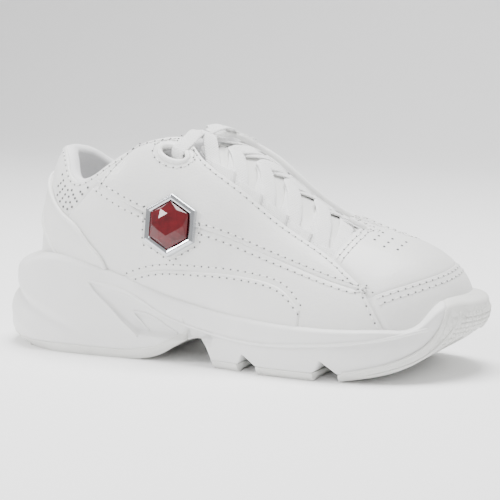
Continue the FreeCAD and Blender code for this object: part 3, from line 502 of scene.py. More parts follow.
@dataclass(frozen=True)
class Surface:
    """A finish: its colours, gloss and the relief that its making leaves on it."""

    name: str
    # light and dark are the ends of a mix driven by the soft noise that also raises the unevenness:
    # painted shade in its hollows, on top of tone that varies at random
    light: str                       # sRGB of the surface's high places
    dark: str                        # sRGB of its hollows
    roughness: float = 0.5
    metallic: float = 0.0
    ior: float = 1.5
    sheen: float = 0.0
    coat: float = 0.0
    grain: float = 0.0               # size in mm of the surface's cells, as leather's pebbles
    grain_height: float = 0.0        # mm
    wave: float = 0.0                # size in mm of its soft unevenness
    wave_height: float = 0.0         # mm
    weave: float = 0.0               # pitch in mm of crossing threads, along the piece's own UV
    weave_height: float = 0.0        # mm
    rim: str = ""                    # attribute that fades the grain out where it is 0
    slant: bool = False              # threads run at 45 degrees, as in a braid

    def make(self) -> bpy.types.Material:
        """Make the material."""
        material = bpy.data.materials.new(self.name)
        material.use_nodes = True
        tree = material.node_tree
        shader = tree.nodes["Principled BSDF"]
        for word, value in (("Roughness", self.roughness), ("Metallic", self.metallic),
                            ("IOR", self.ior), ("Sheen Weight", self.sheen),
                            ("Coat Weight", self.coat)):
            shader.inputs[word].default_value = value
        place = add(tree, "ShaderNodeTexCoord")
        heights, mask = [], None
        if self.rim:
            mask = add(tree, "ShaderNodeAttribute", {"attribute_name": self.rim}).outputs["Fac"]
        soft = add(tree, "ShaderNodeTexNoise", {"noise_dimensions": "3D"},
                   {"Vector": place.outputs["Object"], "Scale": 1 / (max(self.wave, 3.0) * MM),
                    "Detail": 3.0, "Roughness": 0.5})
        if self.wave_height:
            heights.append((soft.outputs["Fac"], self.wave_height))
        if self.grain:
            warp = add(tree, "ShaderNodeTexNoise", {}, {
                "Vector": place.outputs["Object"], "Scale": 1 / (self.grain * 2.5 * MM),
                "Detail": 2.0})
            bent = add(tree, "ShaderNodeMix", {"data_type": "VECTOR"}, {
                0: self.grain * 0.0009, 4: place.outputs["Object"], 5: warp.outputs["Color"]})
            cells = add(tree, "ShaderNodeTexVoronoi", {"feature": "SMOOTH_F1"}, {
                "Vector": bent.outputs[1], "Scale": 1 / (self.grain * MM), "Smoothness": 0.6})
            raised = cells.outputs["Distance"]
            if mask is not None:
                raised = add(tree, "ShaderNodeMath", {"operation": "MULTIPLY"},
                             {0: raised, 1: mask}).outputs[0]
            heights.append((raised, -self.grain_height))
        if self.weave:
            flat = add(tree, "ShaderNodeMapping", {}, {
                "Vector": place.outputs["UV"],
                "Rotation": (0.0, 0.0, math.pi / 4 if self.slant else 0.0)})
            bands = [add(tree, "ShaderNodeTexWave", {"bands_direction": axis}, {
                "Vector": flat.outputs[0], "Scale": math.tau / 20 / (self.weave * MM),
                "Distortion": 0.0}).outputs["Fac"] for axis in "XY"]
            crossed = add(tree, "ShaderNodeMath", {"operation": "MAXIMUM"},
                          {0: bands[0], 1: bands[1]})
            heights.append((crossed.outputs[0], self.weave_height))
        # Painted shade: the soft noise that raises the surface's unevenness also mixes its colour,
        # dark in the hollows and light on the high places, besides varying its tone at random.
        colour = add(tree, "ShaderNodeMix", {"data_type": "RGBA"}, {
            0: soft.outputs["Fac"], 6: linear(self.dark), 7: linear(self.light)})
        tree.links.new(colour.outputs[2], shader.inputs["Base Color"])
        normal = None
        for height, size in heights:
            bump = add(tree, "ShaderNodeBump", {}, {
                "Height": height, "Distance": abs(size) * MM, "Strength": 1.0})
            bump.invert = size < 0
            if normal is not None:
                tree.links.new(normal, bump.inputs["Normal"])
            normal = bump.outputs["Normal"]
        if normal is not None:
            tree.links.new(normal, shader.inputs["Normal"])
        return material


# Split-grain cowhide with a white pigment coat: soft gloss, fine pebbles, gentle unevenness.
LEATHER = Surface("white_coated_leather", "#efefed", "#e4e4e2", roughness=0.42, ior=1.5,
                  coat=0.08, grain=0.9, grain_height=0.08, wave=16, wave_height=0.5)
# The same hide shaved thinner for the overlays, a little smoother from pressing.
OVERLAY = Surface("white_pressed_leather", "#f0f0ee", "#e6e6e4", roughness=0.38, ior=1.5,
                  coat=0.1, grain=0.8, grain_height=0.03, wave=14, wave_height=0.2)
# Compression-moulded EVA foam: matt and smooth, with a faint skin.
FOAM = Surface("white_moulded_eva", "#ededec", "#e2e2e1", roughness=0.5, ior=1.5,
               grain=1.4, grain_height=0.015, wave=20, wave_height=0.12)
# Moulded non-marking rubber: slightly warmer and duller than the foam, pebbled from the tool.
RUBBER = Surface("white_moulded_rubber", "#e8e8e5", "#d6d6d2", roughness=0.55, ior=1.52,
                 grain=2.3, grain_height=1.0, wave=12, wave_height=0.05, rim="pebble")
# Spun polyester sewing thread: matt, a little raised.
THREAD = Surface("white_sewing_thread", "#fafaf8", "#ececea", roughness=0.7, sheen=0.2)
# Needle holes and perforations: painted shade, a dark colour on small discs that stands for the
# shadow in the holes of pierced leather.
HOLE_SHADE = Surface("painted_hole_shadow", "#6f6f70", "#58585a", roughness=1.0)
# Braided flat cotton lace: herringbone braid about a millimetre in pitch.
LACE = Surface("white_braided_cotton", "#fbfbfa", "#efefee", roughness=0.85, sheen=0.3,
               wave=6, wave_height=0.1, weave=1.1, weave_height=0.22, slant=True)
# Woven polyester webbing for the lace loops.
WEBBING = Surface("white_woven_webbing", "#f6f6f5", "#e9e9e8", roughness=0.8, sheen=0.2,
                  weave=0.9, weave_height=0.2)
# Brushed tricot lining: soft, slightly grey, with a fine knit.
LINING = Surface("brushed_tricot_lining", "#eeeeee", "#dededf", roughness=0.9, sheen=0.4,
                 grain=0.8, grain_height=0.12, wave=10, wave_height=0.3)
# Needle-punched board under the sockliner.
BOARD = Surface("needled_board", "#dcdad4", "#c9c6bf", roughness=0.95, grain=0.9,
                grain_height=0.08, wave=6, wave_height=0.05)
# Polyester knit laid on foam: the sockliner's top.
SOCK_KNIT = Surface("knit_sockliner", "#ececed", "#dcdcde", roughness=0.9, sheen=0.3, grain=1.0,
                    grain_height=0.12, wave=14, wave_height=0.3)
# Thermoplastic stiffener sheet.
STIFFENER = Surface("stiffener_sheet", "#d9d4c8", "#cbc5b8", roughness=0.7, grain=0.7,
                    grain_height=0.03, wave=8, wave_height=0.05)
# Injection-moulded nylon of the shank.
SHANK = Surface("moulded_nylon", "#3a3c40", "#303236", roughness=0.4, ior=1.53, grain=0.5,
                grain_height=0.01, wave=9, wave_height=0.02)
# Moulded acetal of the eyelet rings, glossier than the leather.
ACETAL = Surface("white_acetal", "#f6f6f4", "#efefed", roughness=0.25, ior=1.48, grain=1.2,
                 grain_height=0.004, wave=8, wave_height=0.02)
# Electroplated zinc of the badge's frame: bright, with faint polishing marks.
CHROME = Surface("plated_zinc", "#d6d8db", "#b9bcc1", roughness=0.14, metallic=1.0, grain=0.35,
                 grain_height=0.002, wave=5, wave_height=0.01)
# Cast acrylic stone, tinted through: deep red with a polished face.
ACRYLIC = Surface("red_cast_acrylic", "#6e0a16", "#2c0308", roughness=0.06, ior=1.49, coat=0.25,
                  wave=4, wave_height=0.0)
# Plain painted plaster of the studio floor.
FLOOR = Surface("studio_floor", "#ffffff", "#fdfdfd", roughness=0.8, wave=60, wave_height=0.0)


class Finishes:
    """The shoe's materials, each made once."""

    def __init__(self) -> None:
        """Start with none made."""
        self.made: dict[str, bpy.types.Material] = {}

    def __call__(self, surface: Surface) -> bpy.types.Material:
        """The material of a finish."""
        if surface.name not in self.made:
            self.made[surface.name] = surface.make()
        return self.made[surface.name]


FINISH = Finishes()


# ---------------------------------------------------------------------------------------------
# What repeats: stitches, perforations, tread lugs
# ---------------------------------------------------------------------------------------------
class Repeats:
    """Geometry Nodes trees that set one small form along paths or on points."""

    def tree(self, name: str, inputs: Sequence[tuple[str, str, object]]) -> bpy.types.NodeTree:
        """Start a tree with named inputs after its geometry."""
        tree = bpy.data.node_groups.new(name, "GeometryNodeTree")
        tree.interface.new_socket("Geometry", in_out="INPUT", socket_type="NodeSocketGeometry")
        for word, kind, value in inputs:
            socket = tree.interface.new_socket(word, in_out="INPUT", socket_type=kind)
            if value is not None:
                socket.default_value = value
        tree.interface.new_socket("Geometry", in_out="OUTPUT", socket_type="NodeSocketGeometry")
        return tree

    def turned(self, tree: bpy.types.NodeTree,
               along: bpy.types.NodeSocket | None) -> bpy.types.Node:
        """Rotation that stands a form on the surface, and along the path if there is one."""
        normal = add(tree, "GeometryNodeInputNamedAttribute", {"data_type": "FLOAT_VECTOR"},
                     {"Name": "surface_normal"})
        stand = add(tree, "FunctionNodeAlignRotationToVector", {"axis": "Z"},
                    {"Vector": normal.outputs["Attribute"]})
        if along is None:
            return stand
        return add(tree, "FunctionNodeAlignRotationToVector", {"axis": "X", "pivot_axis": "Z"},
                   {"Rotation": stand.outputs[0], "Vector": along})

    def set_out(self, tree: bpy.types.NodeTree, points: bpy.types.NodeSocket,
                form: bpy.types.NodeSocket, turn: bpy.types.NodeSocket,
                finish: bpy.types.NodeSocket) -> bpy.types.NodeSocket:
        """Set a form on points and give it its finish."""
        placed = add(tree, "GeometryNodeInstanceOnPoints", {}, {
            "Points": points, "Instance": form, "Rotation": turn})
        real = add(tree, "GeometryNodeRealizeInstances", {}, {"Geometry": placed.outputs[0]})
        return add(tree, "GeometryNodeSetMaterial", {}, {
            "Geometry": real.outputs[0], "Material": finish}).outputs[0]

    def stitch_tree(self) -> bpy.types.NodeTree:
        """Thread lying between needle holes at an even pitch along every path; each needle hole is
        a flat dark disc of painted shade.
        """
        tree = self.tree("stitch_rows", (
            ("Pitch", "NodeSocketFloat", 3.4 * MM), ("Length", "NodeSocketFloat", 2.3 * MM),
            ("Thickness", "NodeSocketFloat", 0.6 * MM), ("Hole", "NodeSocketFloat", 0.42 * MM),
            ("Thread", "NodeSocketMaterial", None), ("Hole_shade", "NodeSocketMaterial", None)))
        given = add(tree, "NodeGroupInput").outputs
        curve = add(tree, "GeometryNodeMeshToCurve", {}, {"Mesh": given["Geometry"]})
        even = add(tree, "GeometryNodeResampleCurve", {"mode": "LENGTH"}, {
            "Curve": curve.outputs[0], "Length": given["Pitch"]})
        turn = self.turned(tree, add(tree, "GeometryNodeInputTangent").outputs[0])
        ball = add(tree, "GeometryNodeMeshUVSphere", {}, {"Segments": 6, "Rings": 4, "Radius": 0.5})
        size = add(tree, "ShaderNodeCombineXYZ", {}, {
            "X": given["Length"], "Y": given["Thickness"], "Z": given["Thickness"]})
        thread = add(tree, "GeometryNodeTransform", {}, {
            "Geometry": ball.outputs[0], "Scale": size.outputs[0]})
        # Needle hole: a thin disc in the dark hole finish, painted shade on the surface rather than
        # a cut.
        disc = add(tree, "GeometryNodeMeshCircle", {"fill_type": "NGON"}, {
            "Vertices": 6, "Radius": given["Hole"]})
        half = add(tree, "ShaderNodeMath", {"operation": "MULTIPLY"},
                   {0: given["Pitch"], 1: 0.5})
        shift = add(tree, "ShaderNodeCombineXYZ", {}, {"X": half.outputs[0], "Z": 0.06 * MM})
        hole = add(tree, "GeometryNodeTransform", {}, {
            "Geometry": disc.outputs[0], "Translation": shift.outputs[0]})
        both = add(tree, "GeometryNodeJoinGeometry")
        for form, finish in ((hole, "Hole_shade"), (thread, "Thread")):
            tree.links.new(self.set_out(tree, even.outputs[0], form.outputs[0], turn.outputs[0],
                                        given[finish]), both.inputs[0])
        add(tree, "NodeGroupOutput", {}, {0: both.outputs[0]})
        return tree

    def perforation_tree(self) -> bpy.types.NodeTree:
        """A small dark disc on every point: painted shade where a perforation's hole would be."""
        tree = self.tree("perforations", (
            ("Radius", "NodeSocketFloat", 0.55 * MM), ("Rim", "NodeSocketFloat", 0.12 * MM),
            ("Hole_shade", "NodeSocketMaterial", None)))
        given = add(tree, "NodeGroupInput").outputs
        disc = add(tree, "GeometryNodeMeshCone", {"fill_type": "NGON"}, {
            "Vertices": 8, "Radius Top": given["Radius"], "Radius Bottom": given["Radius"],
            "Depth": given["Rim"]})
        points = add(tree, "GeometryNodeMeshToPoints", {}, {"Mesh": given["Geometry"]})
        done = self.set_out(tree, points.outputs[0], disc.outputs[0],
                            self.turned(tree, None).outputs[0], given["Hole_shade"])
        add(tree, "NodeGroupOutput", {}, {0: done})
        return tree

    def pebble_tree(self) -> bpy.types.NodeTree:
        """A low pebble on every point."""
        tree = self.tree("toe_pebbles", (
            ("Width", "NodeSocketFloat", 2.1 * MM), ("Height", "NodeSocketFloat", 1.0 * MM),
            ("Rubber", "NodeSocketMaterial", None)))
        given = add(tree, "NodeGroupInput").outputs
        ball = add(tree, "GeometryNodeMeshUVSphere", {}, {"Segments": 8, "Rings": 5, "Radius": 0.5})
        size = add(tree, "ShaderNodeCombineXYZ", {}, {
            "X": given["Width"], "Y": given["Width"], "Z": given["Height"]})
        pebble = add(tree, "GeometryNodeTransform", {}, {
            "Geometry": ball.outputs[0], "Scale": size.outputs[0]})
        points = add(tree, "GeometryNodeMeshToPoints", {}, {"Mesh": given["Geometry"]})
        done = self.set_out(tree, points.outputs[0], pebble.outputs[0],
                            self.turned(tree, None).outputs[0], given["Rubber"])
        add(tree, "NodeGroupOutput", {}, {0: done})
        return tree

    def lug_tree(self) -> bpy.types.NodeTree:
        """A chevron lug on every point of the tread."""
        tree = self.tree("tread_lugs", (
            ("Arm", "NodeSocketFloat", 4.2 * MM), ("Width", "NodeSocketFloat", 1.5 * MM),
            ("Height", "NodeSocketFloat", 1.3 * MM), ("Rubber", "NodeSocketMaterial", None)))
        given = add(tree, "NodeGroupInput").outputs
        size = add(tree, "ShaderNodeCombineXYZ", {}, {
            "X": given["Width"], "Y": given["Arm"], "Z": given["Height"]})
        bar = add(tree, "GeometryNodeMeshCube", {}, {"Size": size.outputs[0]})
        both = add(tree, "GeometryNodeJoinGeometry")
        for sign in (-1, 1):
            reach = add(tree, "ShaderNodeMath", {"operation": "MULTIPLY"},
                        {0: given["Arm"], 1: sign * 0.4})
            shift = add(tree, "ShaderNodeCombineXYZ", {}, {"Y": reach.outputs[0]})
            arm = add(tree, "GeometryNodeTransform", {}, {
                "Geometry": bar.outputs[0], "Translation": shift.outputs[0],
                "Rotation": (0.0, 0.0, sign * 0.6)})
            tree.links.new(arm.outputs[0], both.inputs[0])
        points = add(tree, "GeometryNodeMeshToPoints", {}, {"Mesh": given["Geometry"]})
        done = self.set_out(tree, points.outputs[0], both.outputs[0],
                            self.turned(tree, None).outputs[0], given["Rubber"])
        add(tree, "NodeGroupOutput", {}, {0: done})
        return tree

    def grow(self, name: str, tree: bpy.types.NodeTree, paths: Sequence[tuple[Array, Array]],
             joined: bool, finishes: dict[str, bpy.types.Material],
             smooth: bool = True) -> bpy.types.Object:
        """Run a tree on paths or points and keep the plain mesh.

        Args:
            name: The finished piece's name.
            tree: The tree.
            paths: Points in millimetres, each with the surface's normals there.
            joined: Whether each path's points are joined by edges.
            finishes: Input name to material.
            smooth: Whether the result is shaded smooth.

        Returns:
            The finished piece.
        """
        points = np.concatenate([path for path, _ in paths])
        normals = np.concatenate([normal for _, normal in paths])
        edges, first = [], 0
        for path, _ in paths:
            if joined:
                edges += [(first + k, first + k + 1) for k in range(len(path) - 1)]
            first += len(path)
        mesh = bpy.data.meshes.new(f"{name}_paths")
        mesh.from_pydata(((points + SHIFT) * MM).tolist(), edges, [])
        attribute = mesh.attributes.new("surface_normal", "FLOAT_VECTOR", "POINT")
        attribute.data.foreach_set("vector", normals.astype(np.float32).ravel())
        carrier = bpy.data.objects.new(f"{name}_paths", mesh)
        bpy.context.scene.collection.objects.link(carrier)
        modifier = carrier.modifiers.new("grow", "NODES")
        modifier.node_group = tree
        for socket in tree.interface.items_tree:
            if socket.in_out == "INPUT" and socket.name in finishes:
                modifier[socket.identifier] = finishes[socket.name]
        graph = bpy.context.evaluated_depsgraph_get()
        grown = bpy.data.meshes.new_from_object(carrier.evaluated_get(graph))
        carrier.modifiers.clear()
        bpy.data.objects.remove(carrier)
        grown.name = name
        for face in grown.polygons:
            face.use_smooth = smooth
        piece = bpy.data.objects.new(name, grown)
        bpy.context.scene.collection.objects.link(piece)
        return piece


# ---------------------------------------------------------------------------------------------
# The sole
# ---------------------------------------------------------------------------------------------
@dataclass
class Sole:
    """Moulded foam midsole with its rubber pieces, sculpted walls and tread."""

    outer: tuple = ((0.4, 0), (5, -16), (18, -28.5), (36, -33), (58, -34), (93, -34),
                    (122, -37.5), (146, -42), (172, -42.5), (197, -35.5), (214, -19), (223, 3))
    inner: tuple = ((219, 21), (203, 34), (178, 40), (150, 40), (122, 34.5), (93, 30),
                    (58, 30), (36, 29), (18, 24.5), (5, 14))
    arch: tuple = ((76, 0), (90, 3.2), (101, 9.5), (108, 11.5), (113, 8), (116.5, 0))
    toe_spring: tuple = ((172, 0), (190, 2.8), (206, 9), (217.5, 17), (221.8, 22), (223, 26))
    rim: tuple = ((17.5, 41.5), (30, 43.5), (43, 43), (63, 39), (87, 31.6), (111, 25.5),
                  (135, 23), (158, 22), (180, 22), (197.5, 22), (208, 25), (212.5, 30.5),
                  (217, 33), (223, 32.5))
    footbed: tuple = ((16, 31), (46, 30), (70, 28), (95, 24.5), (118, 18.5), (140, 14),
                      (166, 13), (192, 14.5), (210, 16.5), (219, 18))
    # Wall sections from the rim to the ground edge: how far in from the outline, and the share
    # of the wall's height.
    side_wall: tuple = ((3.2, 1), (0.9, 0.975), (0.0, 0.86), (-0.1, 0.66), (0.0, 0.45),
                        (0.2, 0.26), (0.7, 0.09), (2.4, 0))
    heel_wall: tuple = ((17.1, 1), (7.4, 0.925), (3.2, 0.76), (2.6, 0.62), (1.3, 0.47),
                        (0.5, 0.28), (2.4, 0.11), (9.1, 0))
    toe_wall: tuple = ((6.0, 1), (2.2, 0.93), (0.5, 0.8), (0.0, 0.62), (0.3, 0.42),
                       (1.3, 0.26), (3.2, 0.1), (5.6, 0))
    # Top lines of the rubber pieces, and the notches between them.
    heel_band: tuple = ((-5, 7), (4, 6), (16, 4.2), (74, 4.2), (88, 6.6), (98, 12), (103, 15))
    toe_band: tuple = ((176, 3.6), (190, 6.4), (202, 10.5), (208.5, 15), (213, 23), (215.5, 34),
                       (240, 34))
    tread: float = 3.6
    lug_height: float = 0.9
    # Raised lines of the wall.
    flow_line: tuple = ((55.5, 33), (63, 32.2), (74.5, 29.6), (84, 25), (92.5, 20.8),
                        (102, 17.8), (111.5, 15.8), (123, 14.2), (135.5, 13.4), (147, 13.6),
                        (158.5, 14.6), (170, 15.6), (180.5, 16.8), (197, 19.4), (209, 22.4))
    wedge_line: tuple = ((55.5, 33), (57.5, 30), (64, 24), (72, 16.5), (79.5, 10.5))
    small_flow: tuple = ((76.5, 21), (81, 20.6), (87, 18.4), (93, 14.8), (97, 12.6))
    small_wedge: tuple = ((76.5, 21), (79, 17.6), (83.5, 12.6))
    bumper_line: tuple = ((178, 4.2), (190, 6.6), (202, 10.8), (208.5, 15.5), (212.6, 22.5),
                          (214.4, 29.5))
    bumper_inner_line: tuple = ((188, 3.4), (198, 6.2), (206.5, 9.8), (212.5, 15), (216.4, 21.5),
                                (218.2, 28))

    def __post_init__(self) -> None:
        """Fit the outline, the side view's lines and the wall's sections."""
        plan = np.asarray(self.outer + self.inner, float)
        self.outline = ring_spline(half_knots(plan, len(self.outer) - 1), plan)
        arch = Spline([p[0] for p in self.arch], [p[1:] for p in self.arch])
        spring = Spline([p[0] for p in self.toe_spring], [p[1:] for p in self.toe_spring])
        a, s = np.linspace(76, 116.5, 60), np.linspace(172, 223, 60)
        self.low_x = np.concatenate(([-10], a, s))
        self.low_z = np.concatenate(([0], np.maximum(arch(a)[:, 0], 0),
                                     np.maximum(spring(s)[:, 0], 0)))
        top = Spline([p[0] for p in self.rim], [p[1:] for p in self.rim])
        self.top_x = np.linspace(17.5, 223, 200)
        self.top_z = top(self.top_x)[:, 0]
        knots = np.array((0, 0.08, 0.22, 0.38, 0.54, 0.74, 0.9, 1.0))
        self.sections = [Spline(knots, wall)
                         for wall in (self.side_wall, self.heel_wall, self.toe_wall)]
        dense = np.linspace(0, 1, 2001)
        xs = self.outline(dense)[:, 0]
        self.outer_places = (xs[:1001], dense[:1001])
        self.inner_places = (xs[1000:][::-1], dense[1000:][::-1])

    def ground(self, x: Array) -> Array:
        """Height of the sole's underside."""
        return np.interp(x, self.low_x, self.low_z)

    def rim_height(self, x: Array) -> Array:
        """Height of the wall's top."""
        return np.interp(x, self.top_x, self.top_z)

    def bed(self, x: Array) -> Array:
        """Height of the footbed."""
        return np.interp(x, [p[0] for p in self.footbed], [p[1] for p in self.footbed])

    def place_at(self, x: Array, side: Side) -> Array:
        """Place round the outline at an x, on one side."""
        table = self.outer_places if side is Side.OUTER else self.inner_places
        return np.interp(x, *table)

    def relief(self, x: Array, z: Array) -> Array:
        """How deep the sculpted hollows are at a place of the side wall."""
        groove = 2.1 * np.exp(-((z - 25.5 + 0.34 * np.maximum(x - 4, 0)) / 2.4) ** 2)
        groove *= ease((56 - x) / 34)
        low_bulge = -0.9 * np.exp(-((z - 18 + 0.5 * np.maximum(x - 4, 0)) / 4.0) ** 2)
        low_bulge *= ease((40 - x) / 25) * ease(x / 8)
        flow = np.interp(x, *np.transpose(self.flow_line))
        wedge = np.interp(x, *np.transpose(self.wedge_line))
        inside = ease((flow - z) / 1.6) * ease((z - wedge) / 2.0) * ease((x - 55.5) / 3)
        wedge_depth = inside * (0.5 + 3.4 * ease((x - 57) / 42)) * ease((120 - x) / 11)
        small = np.interp(x, *np.transpose(self.small_flow))
        second = ease((small - z) / 1.2) * ease((x - 77) / 4) * ease((104 - x) / 10)
        wedge_depth = wedge_depth + 0.9 * second * inside
        under = ease((flow - z) / 0.9) * ease((x - 104) / 12) * ease((214 - x) / 8)
        step = under * (0.9 * np.exp(-np.maximum(flow - z, 0) / 3.5) + 0.25)
        band = -0.35 * np.exp(-((z - flow - 3.5) / 2.6) ** 2) * ease((x - 60) / 25)
        return groove + low_bulge + wedge_depth + step + band * ease((205 - x) / 20)

    def wall(self, place: Array, drop: Array, proud: float = 0.0) -> Array:
        """Points of the outer wall.

        Args:
            place: Round the outline, 0 at the heel and 0.5 at the toe.
            drop: From 0 at the rim to 1 at the ground edge.
            proud: How far the points stand out from the foam's own wall.

        Returns:
            The points.
        """
        place, drop = np.broadcast_arrays(np.asarray(place, float), np.asarray(drop, float))
        rim_point = self.outline(place)
        along = unit(self.outline(place + 0.002) - self.outline(place - 0.002))
        outward = np.stack((along[..., 1], -along[..., 0]), axis=-1)
        x = rim_point[..., 0]
        at_heel = ease((46 - x) / 43) ** 1.4
        at_toe = ease((x - 206) / 14)
        side, heel, toe = (section(drop) for section in self.sections)
        shares = (1 - at_heel - at_toe, at_heel, at_toe)
        inset = sum(share * kind[..., 0] for share, kind in zip(shares, (side, heel, toe)))
        height = sum(share * kind[..., 1] for share, kind in zip(shares, (side, heel, toe)))
        ends = sum(share * kind[-1][0]
                   for share, kind in zip(shares, (self.side_wall, self.heel_wall, self.toe_wall)))
        low = self.ground(x - outward[..., 0] * ends)
        z = low + height * (self.rim_height(x) - low)
        inset = inset + self.relief(x, z) * ease(drop / 0.06) - proud
        flat = rim_point - outward * inset[..., None]
        return np.concatenate((flat, z[..., None]), axis=-1)

    def drop_at(self, place: Array, z: Array) -> Array:
        """How far down the wall a height lies at some places."""
        drops = np.linspace(0, 1, 161)
        heights = self.wall(place[:, None], drops[None, :])[..., 2]
        return np.array([np.interp(-goal, -column, drops) for goal, column in zip(z, heights)])

    def on_wall(self, line: Sequence[Sequence[float]], side: Side, count: int,
                proud: float = 0.0) -> tuple[Array, Array]:
        """Path of a side-view line on the wall, with its outward directions."""
        xz = Spline(chord_knots(line), line)(np.linspace(0, 1, count))
        place = self.place_at(xz[:, 0], side)
        drop = self.drop_at(place, xz[:, 1])
        path = self.wall(place, drop, proud)
        aside = self.wall(place + 0.002, drop) - self.wall(place - 0.002, drop)
        below = self.wall(place, drop + 0.01) - self.wall(place, drop - 0.01)
        return path, unit(np.cross(below, aside))

    def loops(self, outer: Array, inner: Array, high: Array, low: Array, rows: int,
              proud: float, roof: Array, floor_lift: float = 0.0) -> tuple[Array, Array]:
        """Closed sections of a piece of the sole, one for each pair of places.

        Args:
            outer: Places on the outer side.
            inner: Places on the inner side, in the same order.
            high: Height at which the piece's wall starts.
            low: Height at which it ends, or nan where it runs to the ground edge.
            rows: Rows of each wall.
            proud: How far the wall stands out.
            roof: Height of the piece's hidden top.
            floor_lift: How far its underside lies above the ground line.

        Returns:
            The sections, and for each point how far it lies under the piece's top line.
        """
        walls = []
        for place in (outer, inner):
            start = self.drop_at(place, high)
            end = np.where(np.isnan(low), 1.0, self.drop_at(place, np.nan_to_num(low)))
            share = np.linspace(0, 1, rows)
            drops = start[:, None] + (np.maximum(end, start + 0.002) - start)[:, None] * share
            roll = proud * np.minimum(1, (share * (rows - 1) / 1.6)) ** 0.5
            wall = self.wall(place[:, None], drops)
            out = self.wall(place[:, None], drops, 1.0) - wall
            walls.append(wall + out * roll[None, :, None])
        across = np.linspace(0, 1, 13)[1:-1]
        ends = (walls[0][:, -1], walls[1][:, -1])
        floor = ends[0][:, None] + (ends[1] - ends[0])[:, None] * across[None, :, None]
        under = self.ground(floor[..., 0]) + floor_lift
        bowl = np.where(np.isnan(low)[:, None], under, floor[..., 2])
        floor[..., 2] = bowl
        tops = (walls[0][:, 0], walls[1][:, 0])
        middle = np.linspace(0.14, 0.86, 5)[::-1]
        cover = tops[0][:, None] + (tops[1] - tops[0])[:, None] * middle[None, :, None]
        cover[..., 2] = roof[:, None]
        rings = np.concatenate((walls[0], floor, walls[1][:, ::-1], cover), axis=1)
        depth = high[:, None] - rings[..., 2]
        return rings, depth

    def piece(self, name: str, rings: Array, depth: Array, finish: Surface,
              caps: bool) -> bpy.types.Object:
        """Make one piece of the sole from its closed sections."""
        draft = Draft()
        rows, columns = rings.shape[:2]
        pebble = ease((depth - 3.2) / 1.2) * ease((rings[..., 0] - 200) / 6)
        first = draft.add_net(rings, closed=True, pebble=pebble)
        if caps:
            draft.add_face([first + k for k in range(columns)])
            draft.add_face([first + (rows - 1) * columns + k for k in reversed(range(columns))])
        return draft.make(name, FINISH(finish), merge=0.02)

    def build_midsole(self) -> bpy.types.Object:
        """The foam from the rubber's top line to the rim, with its lip against the upper."""
        even = np.linspace(0, 1, 300)
        turn = 0.5 * (1 - np.cos(np.linspace(0, math.pi, 300))) * 0.35 + even * 0.65
        outer, inner = 0.5 * turn, 1 - 0.5 * turn
        x = self.outline(outer)[:, 0]
        rubber = np.concatenate((
            np.array(self.heel_band), [(103.2, 9.9)],
            [(xx, self.ground(np.array(xx))) for xx in np.linspace(104, 116, 9)],
            [(116.2, 3.6), (129.4, 3.6), (131.5, 8), (138.4, 3.6), (165.6, 3.6), (168, 9)],
            self.toe_band))
        low = np.minimum(np.interp(x, *rubber.T), self.rim_height(x) - 0.8)
        rings, depth = self.loops(outer, inner, self.rim_height(x) + 1, low, 56, 0.0,
                                  np.maximum(self.bed(x) - 1.9, low + 0.1))
        piece = self.piece("midsole_skin", rings, depth, FOAM, caps=False)
        return dress(piece, Body.SHOE, "midsole_foam", "midsole")

    def build_lines(self) -> bpy.types.Object:
        """The wall's raised lines, on both sides."""
        draft = Draft()
        for side in Side:
            for line, width, count in ((self.flow_line, 1.5, 220), (self.wedge_line, 1.3, 60),
                                       (self.small_flow, 1.1, 40), (self.small_wedge, 1.0, 24)):
                path, out = self.on_wall(line, side, count)
                rod(draft, path + out * 0.1, out, width, 1.1, 10)
        piece = draft.make("midsole_lines", FINISH(FOAM))
        return dress(piece, Body.SHOE, "midsole_foam")

    def build_bumper_lines(self) -> bpy.types.Object:
        """Raised borders of the smooth band round the toe bumper."""
        draft = Draft()
        for side in Side:
            for line in (self.bumper_line, self.bumper_inner_line):
                path, out = self.on_wall(line, side, 90, 0.4)
                rod(draft, path + out * 0.1, out, 1.2, 1.0, 10)
        piece = draft.make("toe_bumper_lines", FINISH(RUBBER))
        return dress(piece, Body.SHOE, "outsole_rubber")

    def rubber_places(self, start: float | None, end: float | None,
                      count: int) -> tuple[Array, Array]:
        """Matching places of both sides over a stretch; None runs to the heel's or toe's tip."""
        share = np.linspace(0, 1, count)
        if start is None:
            reach = share ** 1.3
            outer = self.place_at(np.array(end), Side.OUTER) * reach
            inner = 1 - (1 - self.place_at(np.array(end), Side.INNER)) * reach
        elif end is None:
            reach = 1 - (1 - share) ** 1.3
            first, last = (self.place_at(np.array(start), side) for side in Side)
            outer, inner = first + (0.5 - first) * reach, last + (0.5 - last) * reach
        else:
            x = start + (end - start) * share
            outer, inner = self.place_at(x, Side.OUTER), self.place_at(x, Side.INNER)
        return outer, inner

    def build_rubber(self, name: str, node: str, start: float | None, end: float | None,
                     band: Sequence[Sequence[float]]) -> bpy.types.Object:
        """One rubber piece, from its top line down and across the underside."""
        outer, inner = self.rubber_places(start, end, 90)
        x = self.outline(outer)[:, 0]
        high = np.minimum(np.interp(x, *np.transpose(band)), self.rim_height(x) + 0.4)
        none = np.full_like(x, np.nan)
        rings, depth = self.loops(outer, inner, high, none, 26, 0.45, high - 0.5,
                                  self.lug_height)
        piece = self.piece(name, rings, depth, RUBBER, caps=True)
        return dress(piece, Body.SHOE, "outsole_rubber", node)

    def lug_points(self, start: float, end: float, margin: float) -> list[tuple[Array, Array]]:
        """Places of the tread's lugs between two x, in from the outline."""
        found = []
        for column, x in enumerate(np.arange(start, end, 5.2)):
            sides = [self.outline(self.place_at(np.array(x), side))[1] for side in Side]
            low, high = sides[0] + margin, sides[1] - margin
            for y in np.arange(low + (column % 2) * 2.0, high, 7.4):
                slope = (self.ground(np.array(x + 1)) - self.ground(np.array(x - 1))) / 2
                down = np.array((float(slope), 0.0, -1.0))
                found.append((np.array([(x, y, float(self.ground(np.array(x))) + 0.75)]),
                              unit(down)[None]))
        return found

